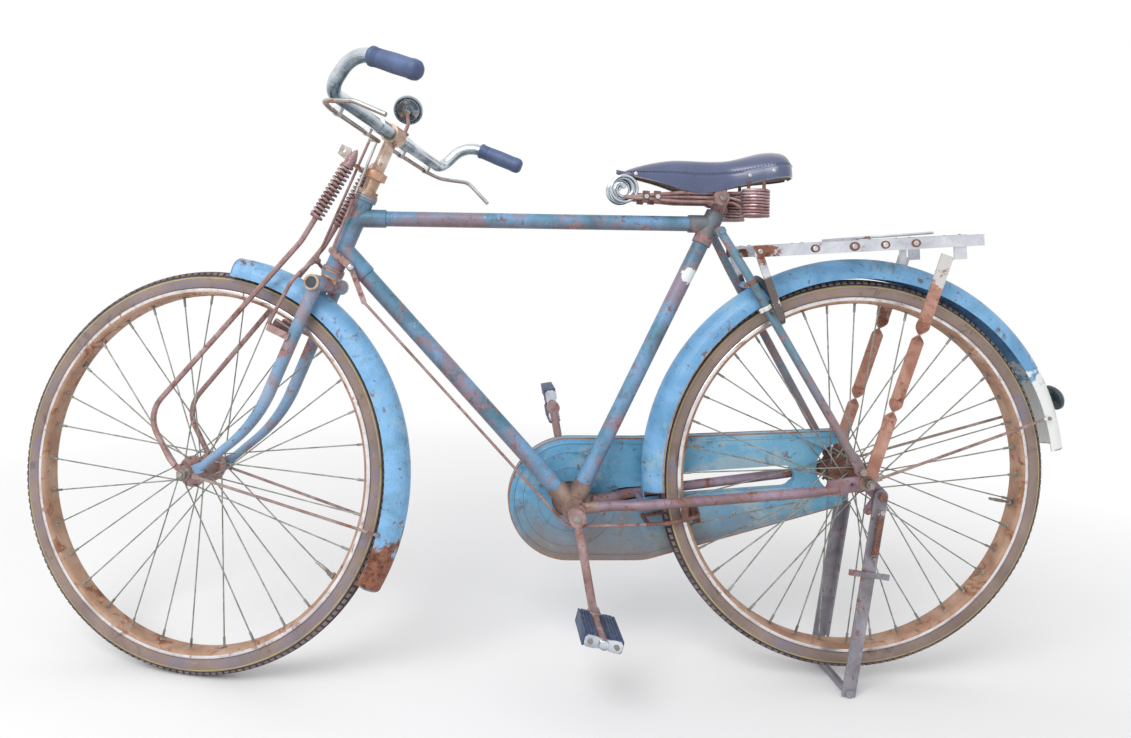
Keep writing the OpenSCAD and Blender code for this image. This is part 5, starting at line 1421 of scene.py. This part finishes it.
class BIKE_OT_saddle_frame(bpy.types.Operator):
    """Saddle frame: nose coils, wires, clips and the two wound rear springs"""

    bl_idname = "bicycle.saddle_frame"
    bl_label = "Saddle Frame"

    def execute(self, context):
        look = settings(context)
        stock = Stock(BIKE)
        for side in SIDES:
            self.wires(stock, side)
            self.nose_coil(stock, side)
            self.rear_spring(stock, side, look)
        self.clips(stock)
        finishes = [FINISH["rusty"], FINISH["bright"], FINISH["dark_rust"]]
        stock.make("saddle_wires", "frame", finishes, "dull_steel", ["saddle_frame"])
        self.teeth()
        return {"FINISHED"}

    def wires(self, stock, side):
        """Two thick wires and a thinner one between them, from the nose to a rear spring."""
        y = side * 27.5
        for up, start in ((1, 6), (-1, 2)):
            z = CLAMP.z + up * 7.9
            path = [
                (NOSE.x + start, side * NOSE.y, NOSE.z - NOSE_COIL_R),
                (CLAMP.x - 70, y, z),
                (CLAMP.x + 24, y, z),
                (REAR_SPRING.x - 4, side * (REAR_SPRING.y - 4), REAR_SPRING.z + up * 19),
            ]
            stock.tube(bend(path, [60, 16]), 3.1, 10, 0)
        middle = [
            (NOSE.x + 60, side * 23.5, CLAMP.z),
            (CLAMP.x - 30, y, CLAMP.z),
            (CLAMP.x + 30, side * 29.5, CLAMP.z),
            (REAR_SPRING.x - 18, side * 52, REAR_SPRING.z + 3),
        ]
        stock.tube(bend(middle, [60, 30]), 2.6, 8, 0)

    def nose_coil(self, stock, side):
        """Two turns of bright wire at the nose, winding inwards to an eye."""
        turns = []
        for i in range(74):
            a = radians(-90 - i * 12)
            r = 23.0 - max(i - 34, 0) * 0.34
            y = side * (NOSE.y - i * 0.11)
            turns.append((NOSE.x + 2 + r * cos(a), y, NOSE.z - 4.5 + r * sin(a)))
        stock.tube(turns, 3.1, 10, 1)
        eye = shift(NOSE.x, side * (NOSE.y + 2), NOSE.z) @ ACROSS @ shift(0, 0, -4)
        stock.turned(eye, [(0, 0), (4.2, 0), (4.8, 1), (4.8, 7), (4.2, 8), (0, 8)], 18, 1)

    def rear_spring(self, stock, side, look):
        """Wound spring between two cups, with its bolt and the two posts up to the pan."""
        x, y = REAR_SPRING.x, side * REAR_SPRING.y
        foot = shift(x, y, REAR_SPRING.z - 25)
        name = SIDES[side] + "_saddle_spring"
        place = BIKE @ metres(foot @ shift(0, 0, 3))
        spring = coil(name, place, look.saddle_turns, 22.0, 2.7, 44, FINISH["saddle_coil"])
        settle(spring, "frame")
        for low, high in ((0.4, 3.4), (46.6, 49.6)):
            cup = [(0, low), (15, low), (20, low + 0.6), (20, high - 0.6), (15, high), (0, high)]
            stock.turned(foot, cup, 30, 0)
        stock.turned(foot, [(0, 3), (4.5, 3), (4.5, 47), (0, 47)], 14, 0)
        for dx in (-12, 15):
            top = saddle_low((SADDLE_REAR - (x + dx)) / SADDLE_LEN) + 2.4
            stock.tube([(x + dx, y, REAR_SPRING.z + 22), (x + dx, y, top)], 3.0, 10, 2)

    def clips(self, stock):
        """Clips that tie the wires behind the nose, and the bar between the nose coils."""
        for dx in (40, 60):
            x = NOSE.x + dx
            for side in SIDES:
                clip = shift(x, side * 24, CLAMP.z) @ turn_about("Y", radians(4))
                stock.block(clip, (11, 8.5, 20), 2)
                nut = clip @ ACROSS @ shift(0, 0, -7.4 if side < 0 else 3.4)
                stock.turned(nut, [(0, 0), (4.4, 0), (4.4, 4), (0, 4)], 6, 1)
            stock.tube([(x, -22, CLAMP.z), (x, 22, CLAMP.z)], 3.4, 12, 2)
        z = NOSE.z + NOSE_COIL_R
        stock.tube([(NOSE.x, -22, z), (NOSE.x, 22, z)], 3.4, 12, 1)

    def teeth(self):
        """Toothed washers of the saddle clamp."""
        spots = []
        for side in SIDES:
            for k in range(22):
                out = round_y(1, 360 * k / 22)
                point = CLAMP + out * 13.4 + Vector((0, side * 33.5, 0))
                spots.append(spot(BIKE, point, out, (0, 1, 0)))
        size = (4.6, 1.9, 1.6)
        repeat(
            "clamp_washer_teeth", "frame", "Block", spots, size, FINISH["rusty"],
            0.05, 4,
        )


# ---------------------------------------------------------------- bars


def grip_line(side):
    """Start and end of the bar's last straight, which a grip covers."""
    return [Vector((x, side * (BAR_HALF + y), BAR_S + 66)) for x, y in ((22, 14), (136, 28))]


class BIKE_OT_grips(bpy.types.Operator):
    """Rubber grips with a flange, moulded ribs and a domed end"""

    bl_idname = "bicycle.grips"
    bl_label = "Grips"

    def execute(self, context):
        stock = Stock(BAR)
        for side in SIDES:
            start, end = grip_line(side)
            way = (end - start).normalized()
            place = Matrix.Translation(
                end - way * 80
            ) @ way.to_track_quat("Z", "Y").to_matrix().to_4x4()
            outline = [(11.6, 0.2), (14.4, 0.2), (15.1, 1.4), (15.1, 4.2), (14.2, 5.6)]
            for k in range(4):
                outline += [
                    (14.2, 8.0 + 3 * k), (13.5, 8.6 + 3 * k), (13.5, 9.6 + 3 * k),
                    (14.2, 10.2 + 3 * k),
                ]
            outline += [
                (14.4, 26), (14.9, 44), (14.6, 62), (14.5, 72), (15.1, 76), (15.1, 82), (14.2, 87),
                (11.2, 90.6), (6, 91.8), (0, 92),
            ]
            stock.turned(place, outline, 40, 0)
        stock.make("handle_grips", "fork", [FINISH["grip"]], "grip_rubber", ["grips"], sharp=40)
        return {"FINISHED"}


class BIKE_OT_bell(bpy.types.Operator):
    """Bell: chrome gong on a stalk, with three dark plates on its back plate as painted shade in
    its slots
    """

    bl_idname = "bicycle.bell"
    bl_label = "Bell"

    def execute(self, context):
        stock = Stock(BAR)
        centre = Vector((-14, 34, BAR_S + 56))
        tip = turn_about("Z", radians(30)) @ turn_about("X", radians(-62))
        gong = Matrix.Translation(centre) @ tip
        cup = [
            (0, 23.8), (6, 23.2), (13, 20.8), (19, 16.6), (23, 11.4), (24.6, 7.0), (25.4, 5.4),
            (26.8, 4.6), (27, 1.0), (26.2, -0.6), (24.6, -1.2), (23.4, 0.4), (23.2, 4.0),
        ]
        stock.turned(gong, cup, 56, 0)
        stock.turned(gong, [(23.2, 4.0), (20, 1.4), (7, 1.4)], 56, 0)
        stock.turned(gong, [(7, 4.4), (6.2, -8), (5.4, -11.4), (0, -11.8)], 24, 0)
        # dark plates where the back plate's slots are: painted shade for the openings into the gong
        for k in range(3):
            start = 120 * k + 20
            slot = [round_y(18.6, start + 9 * n) for n in range(9)]
            slot += [round_y(11.4, start + 9 * n) for n in reversed(range(9))]
            stock.slab(gong, [(p.x, p.z) for p in slot], 0.9, 1.6, 1)
            pin = gong @ turn_about("Z", radians(start - 24)) @ shift(15, 0, 1.2)
            stock.turned(pin, [(0, -3.4), (2.2, -3.2), (2.8, -2.4), (2.8, 0), (0, 0)], 14, 2)
        foot = Vector((0, 32, BAR_S + 13.2))
        stalk = [foot + Vector((0, 0, 2)), foot + Vector((-1, 0, 20))]
        stock.tube(bend([*stalk, centre + Vector((3.5, -6.1, -3.7))], 14), 3.4, 12, 2)
        base = Matrix.Translation(foot)
        stock.turned(base, [(0, 0), (8, 0), (8, 2.6), (6.4, 4), (0, 4)], 24, 2)
        finishes = [FINISH["bright"], FINISH["dark"], FINISH["rusty"]]
        stock.make("bell_gong", "fork", finishes, "worn_chrome", ["bell"])
        return {"FINISHED"}


# ---------------------------------------------------------------- pedals


class BIKE_OT_pedals(bpy.types.Operator):
    """Pedals with grooved rubber blocks between pressed plates"""

    bl_idname = "bicycle.pedals"
    bl_label = "Pedals"

    def execute(self, context):
        arm = Vector((CRANK_LEN * sin(CRANK_REST), 0, -CRANK_LEN * cos(CRANK_REST)))
        for side, name in SIDES.items():
            centre = BRACKET + arm * (1 if side < 0 else -1)
            spin = Matrix.Translation(centre) @ turn_about("Y", radians(PEDAL_TILT[name]))
            stock = Stock(BIKE)
            out = spin @ (ACROSS if side > 0 else turn_about("X", radians(90)))
            spindle = [
                (0, 73), (4.5, 73), (4.5, 80), (5.6, 80), (5.6, 91), (9, 92), (9, 96), (7.4, 98),
                (7.4, 178), (9, 180), (9, 184), (6.6, 184), (0, 184),
            ]
            stock.turned(out, spindle, 24, 1)
            stock.turned(out, [(8.4, 183.6), (8.4, 186), (7.6, 189.4), (4, 190.8), (0, 191)], 24, 2)
            for low, high in ((92.2, 95), (181, 183.8)):
                stock.slab(out, self.plate(), low, high, 2)
            for x in (-22, 22):
                stock.slab(out @ shift(x, 0, 0), self.tread(), 96, 180, 0)
            finishes = [FINISH["pedal"], FINISH["rusty"], FINISH["bright"]]
            stock.make(
                name + "_pedal_rubbers", name + "_pedal", finishes, "pedal_rubber",
                [name + "_pedal"], bevel=0.5,
            )
            nuts = []
            for x in (-22, 22):
                point = spin @ Vector((x, side * 184.4, 0))
                nuts.append(spot(BIKE, point, spin.to_3x3() @ Vector((0, side, 0)), (1, 0, 0)))
            repeat(
                name + "_pedal_nuts", name + "_pedal", "Hexagon", nuts, (9, 9, 4.6),
                FINISH["dull"], 0, 1,
            )
        return {"FINISHED"}

    @staticmethod
    def plate():
        """Outline of a pressed end plate, waisted between the two rubbers."""
        quarter = [(31, 5), (27, 10), (16, 10), (8, 8.4)]
        top = quarter + [(-x, y) for x, y in reversed(quarter)]
        return top + [(x, -y) for x, y in reversed(top)]

    @staticmethod
    def tread():
        """Section of a rubber block, grooved above, below and outside."""
        top = []
        for k in range(4):
            x = -9.6 + k * 5.6
            top += [(x - 1.4, 11), (x + 1.6, 11), (x + 2.2, 9), (x + 3.4, 9)]
        top = [p for p in top if p[0] <= 10.6]
        return [(-10.9, 8)] + top + [(10.9, 8), (10.9, -8)] + [
            (x, -y) for x, y in reversed(top)
        ] + [(-10.9, -8)]


# ---------------------------------------------------------------- guards and chaincase


def guard_arc(radius, y, start, end, steps=110):
    """Arc around a mudguard's middle, between two angles in degrees."""
    turn = (end - start) / steps
    return [round_y(radius, start + turn * i, y) + GUARD_SHIFT for i in range(steps + 1)]


class BIKE_OT_guard_edges(bpy.types.Operator):
    """Rolled edges, end beads and stay bolts of the mudguards"""

    bl_idname = "bicycle.guard_edges"
    bl_label = "Mudguard Edges"

    def execute(self, context):
        bead = settings(context).bead / MM
        guards = (
            ("rear", REAR_WHEEL, "frame", *REAR_GUARD),
            ("front", FRONT_WHEEL, "fork", *FRONT_GUARD),
        )
        for name, place, body, r, start, end, stay in guards:
            stock = Stock(place)
            edge = r - GUARD_DEPTH + bead
            for side in SIDES:
                y = side * (GUARD_HALF - bead - 0.1)
                stock.tube(guard_arc(edge, y, start, end), bead, 8, 0)
            for a in (start + 0.25, end - 0.25):
                arch = []
                for k in range(21):
                    u = radians(-90 + 9 * k)
                    point = round_y(r - GUARD_HALF + 29.2 * cos(u), a, 29.2 * sin(u))
                    arch.append(point + GUARD_SHIFT)
                stock.tube(arch, bead * 0.8, 8, 0)
            stock.make(name + "_guard_beads", body, [FINISH["guard_edge"]], "blue_paint")
            spots = []
            for side in SIDES:
                point = round_y(r - 32, stay, side * 36) + GUARD_SHIFT
                spots.append(side_spot(place, point, side))
            repeat(
                name + "_guard_bolts", body, "Hexagon", spots, (7.5, 7.5, 3.0),
                FINISH["dull"], 0.0, 1,
            )
        return {"FINISHED"}


def tangent(a, ra, b, rb, side):
    """Angle of the tangent above (1) or below (-1) two circles, and where it meets the second."""
    v = (b[0] - a[0], b[1] - a[1])
    t = atan2(v[1], v[0]) + side * acos((ra - rb) / hypot(*v))
    return t, (b[0] + rb * cos(t), b[1] + rb * sin(t))


def arc(centre, r, start, end, steps):
    """Points of (x, z) along an arc around centre, with its angles in radians."""
    angles = [start + (end - start) * k / steps for k in range(steps + 1)]
    return [(centre[0] + r * cos(a), centre[1] + r * sin(a)) for a in angles]


def case_path(inset):
    """Outline of the chaincase, moved inwards, from its open rear top round the front."""
    front, mid, rear = (BRACKET.x, BRACKET.z), (BRACKET.x + 125, BRACKET.z), (0, TYRE_R)
    r, r_rear = 114 - inset, 70 - inset
    t_top, top_rear = tangent(mid, r, rear, r_rear, 1)
    t_low, low_rear = tangent(mid, r, rear, r_rear, -1)
    path = [top_rear, *arc(mid, r, t_top, pi / 2, 4)[:-1]]
    path += arc(front, r, pi / 2, 3 * pi / 2, 44)
    path += [*arc(mid, r, -pi / 2, t_low, 6), low_rear]
    return path


class BIKE_OT_chaincase_trim(bpy.types.Operator):
    """Pressed seam, disc ring and screws of the chaincase"""

    bl_idname = "bicycle.chaincase_trim"
    bl_label = "Chaincase Trim"

    def execute(self, context):
        stock = Stock(BIKE)
        near, far = CASE_NEAR + 0.1, CASE_FAR - 0.1
        for y in (near, far):
            stock.tube([(x, y, z) for x, z in case_path(9)], 2.0, 8, 0)
        for y, radii in ((near, (88, 60)), (far, (90, 62))):
            for r in radii:
                circle = arc((BRACKET.x, BRACKET.z), r, 0, 2 * pi, 72)[:-1]
                stock.tube([(x, y, z) for x, z in circle], 1.2, 8, 0, closed=True)
        for y in (CASE_NEAR + 0.9, CASE_FAR - 0.9):
            stock.tube([(x, y, z) for x, z in case_path(0.4)], 1.5, 8, 1)
        stock.make("chaincase_seams", "frame", [FINISH["case"], FINISH["case_edge"]], "blue_paint")
        spots = []
        for y, side in ((CASE_NEAR, -1), (CASE_FAR, 1)):
            for a in (60, 130, 200, 270, 340):
                point = BRACKET + round_y(104, a, y)
                spots.append(side_spot(BIKE, point, side))
            for x, z in ((-230, 396), (-200, 268)):
                spots.append(side_spot(BIKE, (x, y, z), side))
        repeat(
            "chaincase_screws", "frame", "Dome", spots, (6.5, 6.5, 2.2),
            FINISH["dull"], 0.1, 6,
        )
        return {"FINISHED"}


# ---------------------------------------------------------------- carrier and small fixings


class BIKE_OT_carrier_rivets(bpy.types.Operator):
    """Rivets of the carrier, each on a rusty washer"""

    bl_idname = "bicycle.carrier_rivets"
    bl_label = "Carrier Rivets"

    def execute(self, context):
        size = settings(context).rivet / MM
        rack = shift(*CARRIER_FOOT) @ turn_about("Y", CARRIER_TILT)
        deck = BIKE @ metres(rack)
        sides, washers = [], []
        for side in SIDES:
            for x in (10, 106, 175, 229, 283):
                sides.append(side_spot(deck, (x, side * 76.3, 0), side))
                washers.append(side_spot(deck, (x, side * 75.2, 0), side))
        repeat(
            "carrier_rivets", "frame", "Dome", sides, (size, size, 2.6),
            FINISH["rivet"], 0.06, 9,
        )
        repeat(
            "carrier_washers", "frame", "Disc", washers, (19, 16, 0.9),
            FINISH["dark_rust"], 0.2, 8,
        )
        top = []
        for x in (10, 106, 175, 229, 302, 394):
            for y in (-22, 22):
                top.append(spot(deck, (x, y, 11.2), (0, 0, 1), (1, 0, 0)))
        repeat(
            "carrier_deck_rivets", "frame", "Dome", top, (6.5, 6.5, 2.4),
            FINISH["dull"], 0.06, 3,
        )
        return {"FINISHED"}


class BIKE_OT_fixings(bpy.types.Operator):
    """Nuts, bolt heads and brake rubbers on the frame and the fork"""

    bl_idname = "bicycle.fixings"
    bl_label = "Fixings"

    def execute(self, context):
        self.nuts()
        self.headset_rings()
        self.crown_bosses()
        self.stay_clips()
        self.brake_rubbers()
        return {"FINISHED"}

    def nuts(self):
        """Nuts of the rear axle's stays and the saddle clamp, and the bell crank's bolt."""
        spots = []
        for side in SIDES:
            for x, y, z in ((-11, 70.5, 375), (CLAMP.x, 43.5, CLAMP.z)):
                spots.append(side_spot(BIKE, (x, side * y, z), side))
        size = (13, 13, 5)
        repeat(
            "frame_nuts", "frame", "Hexagon", spots, size, FINISH["dull"], 0.0, 1
        )
        spots = [spot(BIKE, (-907, -32.6, 719), (0, -1, 0), (1, 0, 0))]
        size = (11, 11, 5)
        repeat(
            "bell_crank_bolt", "frame", "Dome", spots, size, FINISH["bright"],
            0.0, 1,
        )

    def headset_rings(self):
        """Three stacked rings at each end of the head tube."""
        rings = Stock(HEAD)
        bore = 16.9
        for low in (911.5, 767.5):
            for step in range(3):
                r = 20.5 - abs(step - 1) * 0.9
                ring = [(bore, 0), (r - 1.2, 0), (r, 1.1), (r, 3.1), (r - 1.2, 4.2), (bore, 4.2)]
                rings.turned(shift(0, 0, low + step * 4.6), ring, 44, step % 2)
        rings.make("headset_rings", "frame", [FINISH["column"], FINISH["strap"]], "worn_chrome")

    def crown_bosses(self):
        """Rolled ends of the tube across the fork crown, each closed by a dark disc as painted
        shade in the bore.
        """
        boss = Stock(HEAD)
        lip = [
            (9.0, -1.5), (13.2, -3.0), (13.9, -1.5), (13.9, 1.4), (12.8, 2.6), (10.6, 2.6),
            (9.8, 1.6), (9.8, 0.9), (0, 0.9),
        ]
        for side in SIDES:
            end = shift(0, side * 63.5, 748) @ turn_about("X", radians(-90 * side))
            # the last step is a flat disc across the bore in the dark finish: painted shade
            boss.turned(end, lip, 36, [0] * 7 + [1])
        boss.make("crown_bosses", "fork", [FINISH["column"], FINISH["dark"]], "worn_chrome")

    def stay_clips(self):
        """A pale and a rusty clip on the left seat stay."""
        clips = Stock(BIKE)
        down = Vector((246.2, -34, -417)).normalized()
        lie = down.to_track_quat("Z", "Y").to_matrix().to_4x4()
        band = [(7.4, 0), (8.1, 0), (8.5, 0.8), (8.5, 7.2), (8.1, 8), (7.4, 8)]
        for centre, finish in (((-178.4, -46.7, 658.6), 0), ((-204.6, -43.2, 703.0), 1)):
            place = shift(*centre) @ lie
            clips.turned(place @ shift(0, 0, -4), band, 28, finish, closed=True)
            clips.block(place @ shift(0, -10.6, 0), (3.6, 7, 8), finish)
            nut = place @ shift(2, -12, 0) @ turn_about("Y", radians(90))
            clips.turned(nut, [(0, 0), (3.6, 0), (3.6, 3), (0, 3)], 6, 1)
        finishes = [FINISH["pale"], FINISH["dark_rust"]]
        clips.make("stay_clips", "frame", finishes, "pale_enamel")

    def brake_rubbers(self):
        """Rubber blocks against the inner face of each rim."""
        reach = RIM_R - 14
        axle_s = (TYRE_R - 75 * sin(HEAD_ANGLE)) / cos(HEAD_ANGLE)
        front, rear = Stock(HEAD), Stock(BIKE)
        for side in SIDES:
            y = side * 14.5
            place = shift(-75 + reach * 0.12, y, axle_s + reach * sqrt(1 - 0.12**2))
            front.block(place @ turn_about("Y", radians(7)), (33, 10, 9), 0)
            place = shift(-reach * 0.972, y, TYRE_R - reach * 0.235)
            rear.block(place @ turn_about("Y", radians(-13.6)), (9, 10, 33), 0)
        finishes = [FINISH["pad"]]
        front.make("front_brake_rubbers", "fork", finishes, "rusty_steel", bevel=0.8)
        rear.make("rear_brake_rubbers", "frame", finishes, "rusty_steel", bevel=0.8)


# ---------------------------------------------------------------- stage


# in metres of the row frame, but for the camera's place, in millimetres of BIKE
FLOOR_HALF = 14.0
FLOOR_FADE = (1.0, 2.3)  # where the floor starts to fade into white, and where it has
LAMP_AT, LAMP_AIM, LAMP_SIZE = Vector((-1.6, -2.6, 3.2)), Vector((0, 0, 0.45)), 2.4
CAMERA_AT = (-684.7, -1363.8, 726.7)
CAMERA_TURN = (2.24, -1.36, 0.81)  # yaw, pitch and roll, in degrees
CAMERA_SHIFT = (0.0507, -0.0757)
WHITE = (1, 1, 1, 1)


def plain_rays(tree):
    """1 for rays that only look: from the camera, mirrored, or through glass."""
    seen = tree.nodes.new("ShaderNodeLightPath")
    socket = seen.outputs["Is Camera Ray"]
    for kind in ("Is Glossy Ray", "Is Transmission Ray"):
        most = tree.nodes.new("ShaderNodeMath")
        most.operation = "MAXIMUM"
        wire(tree, socket, most.inputs[0])
        wire(tree, seen.outputs[kind], most.inputs[1])
        socket = most.outputs[0]
    return socket


class BIKE_OT_stage(bpy.types.Operator):
    """Pale floor, soft light and the camera"""

    bl_idname = "bicycle.stage"
    bl_label = "Stage"

    def execute(self, context):
        studio = context.scene.bicycle_studio
        self.floor(studio)
        self.light(studio)
        self.camera(studio)
        context.scene.view_settings.view_transform = "Standard"
        return {"FINISHED"}

    def floor(self, studio):
        """Pale floor that fades into white around the bicycle."""
        mesh = bpy.data.meshes.new("floor")
        s = FLOOR_HALF
        mesh.from_pydata([(-s, -s, 0), (s, -s, 0), (s, s, 0), (-s, s, 0)], [], [(0, 1, 2, 3)])
        floor = linked("floor", mesh)
        look = Finish("floor_paper")
        mesh.materials.append(look.material)
        look.shader.inputs["Base Color"].default_value = (*studio.floor_colour, 1)
        look.shader.inputs["Roughness"].default_value = 0.9
        look.shader.inputs["Specular IOR Level"].default_value = 0.1
        away = look.nodes.new("ShaderNodeVectorMath")
        away.operation = "LENGTH"
        look.link(look.place, away.inputs[0])
        far = look.level(away.outputs["Value"], *FLOOR_FADE)
        glow = look.nodes.new("ShaderNodeEmission")
        glow.inputs["Color"].default_value = WHITE
        blend = look.nodes.new("ShaderNodeMixShader")
        straight = plain_rays(look.material.node_tree)
        look.link(look.sum(far, straight, "MULTIPLY"), blend.inputs[0])
        look.link(look.shader.outputs["BSDF"], blend.inputs[1])
        look.link(glow.outputs["Emission"], blend.inputs[2])
        look.link(blend.outputs["Shader"], look.nodes["Material Output"].inputs["Surface"])

    def light(self, studio):
        """White surroundings, dimmer as light than as seen, and one large soft lamp."""
        world = bpy.context.scene.world or bpy.data.worlds.new("studio")
        bpy.context.scene.world = world
        world.use_nodes = True
        tree = world.node_tree
        sky = tree.nodes["Background"]
        sky.inputs["Color"].default_value = WHITE
        strength = tree.nodes.new("ShaderNodeMapRange")
        strength.inputs["To Min"].default_value = studio.sky_light
        strength.inputs["To Max"].default_value = 1.0
        wire(tree, plain_rays(tree), strength.inputs["Value"])
        wire(tree, strength.outputs["Result"], sky.inputs["Strength"])
        lamp = bpy.data.lights.new("key", "AREA")
        lamp.energy = studio.key_light
        lamp.size = LAMP_SIZE
        key = linked("key", lamp)
        key.location = LAMP_AT
        key.rotation_euler = (LAMP_AIM - LAMP_AT).to_track_quat("-Z", "Y").to_euler()

    def camera(self, studio):
        """Camera at the left of the bicycle, a little behind and below its middle."""
        data = bpy.data.cameras.new("camera")
        data.lens = studio.focal_length
        data.sensor_width = 36.0
        data.shift_x, data.shift_y = CAMERA_SHIFT
        data.clip_start = 0.02
        data.clip_end = 60
        yaw, pitch, roll = (radians(a) for a in CAMERA_TURN)
        ahead = Vector((sin(yaw) * cos(pitch), cos(yaw) * cos(pitch), sin(pitch)))
        right = Vector((cos(yaw), -sin(yaw), 0))
        up = right.cross(ahead)
        across = right * cos(roll) + up * sin(roll)
        upward = up * cos(roll) - right * sin(roll)
        turn = Matrix([[across[i], upward[i], -ahead[i]] for i in range(3)]).to_4x4()
        camera = linked("camera", data)
        place = Matrix.Translation(at(BIKE, *CAMERA_AT))
        camera.matrix_world = place @ BIKE.to_3x3().to_4x4() @ turn
        bpy.context.scene.camera = camera


# ---------------------------------------------------------------- add-on


class BIKE_PT_looks(bpy.types.Panel):
    """Bicycle looks in the sidebar"""

    bl_label = "Roadster Bicycle"
    bl_idname = "BIKE_PT_looks"
    bl_space_type = "VIEW_3D"
    bl_region_type = "UI"
    bl_category = "Bicycle"

    def draw(self, context):
        layout = self.layout
        for group in (context.scene.bicycle_looks, context.scene.bicycle_studio):
            for name in group.bl_rna.properties.keys():
                if name not in ("rna_type", "name"):
                    layout.prop(group, name)
        for operator in OPERATORS:
            layout.operator(operator.bl_idname)


OPERATORS = (
    BIKE_OT_stage,
    BIKE_OT_finishes,
    BIKE_OT_tyres,
    BIKE_OT_rims,
    BIKE_OT_fork_springs,
    BIKE_OT_stand_spring,
    BIKE_OT_saddle,
    BIKE_OT_saddle_frame,
    BIKE_OT_grips,
    BIKE_OT_bell,
    BIKE_OT_pedals,
    BIKE_OT_guard_edges,
    BIKE_OT_chaincase_trim,
    BIKE_OT_carrier_rivets,
    BIKE_OT_fixings,
)
GROUPS = (BicycleLooks, StudioSettings)


def register():
    for entry in (*GROUPS, *OPERATORS, BIKE_PT_looks):
        bpy.utils.register_class(entry)
    bpy.types.Scene.bicycle_looks = PointerProperty(type=BicycleLooks)
    bpy.types.Scene.bicycle_studio = PointerProperty(type=StudioSettings)


def unregister():
    del bpy.types.Scene.bicycle_studio
    del bpy.types.Scene.bicycle_looks
    for entry in reversed((*GROUPS, *OPERATORS, BIKE_PT_looks)):
        bpy.utils.unregister_class(entry)


def main():
    """Makes every piece in turn."""
    register()
    for operator in OPERATORS:
        group, name = operator.bl_idname.split(".")
        getattr(getattr(bpy.ops, group), name)()


if __name__ == "__main__":
    main()
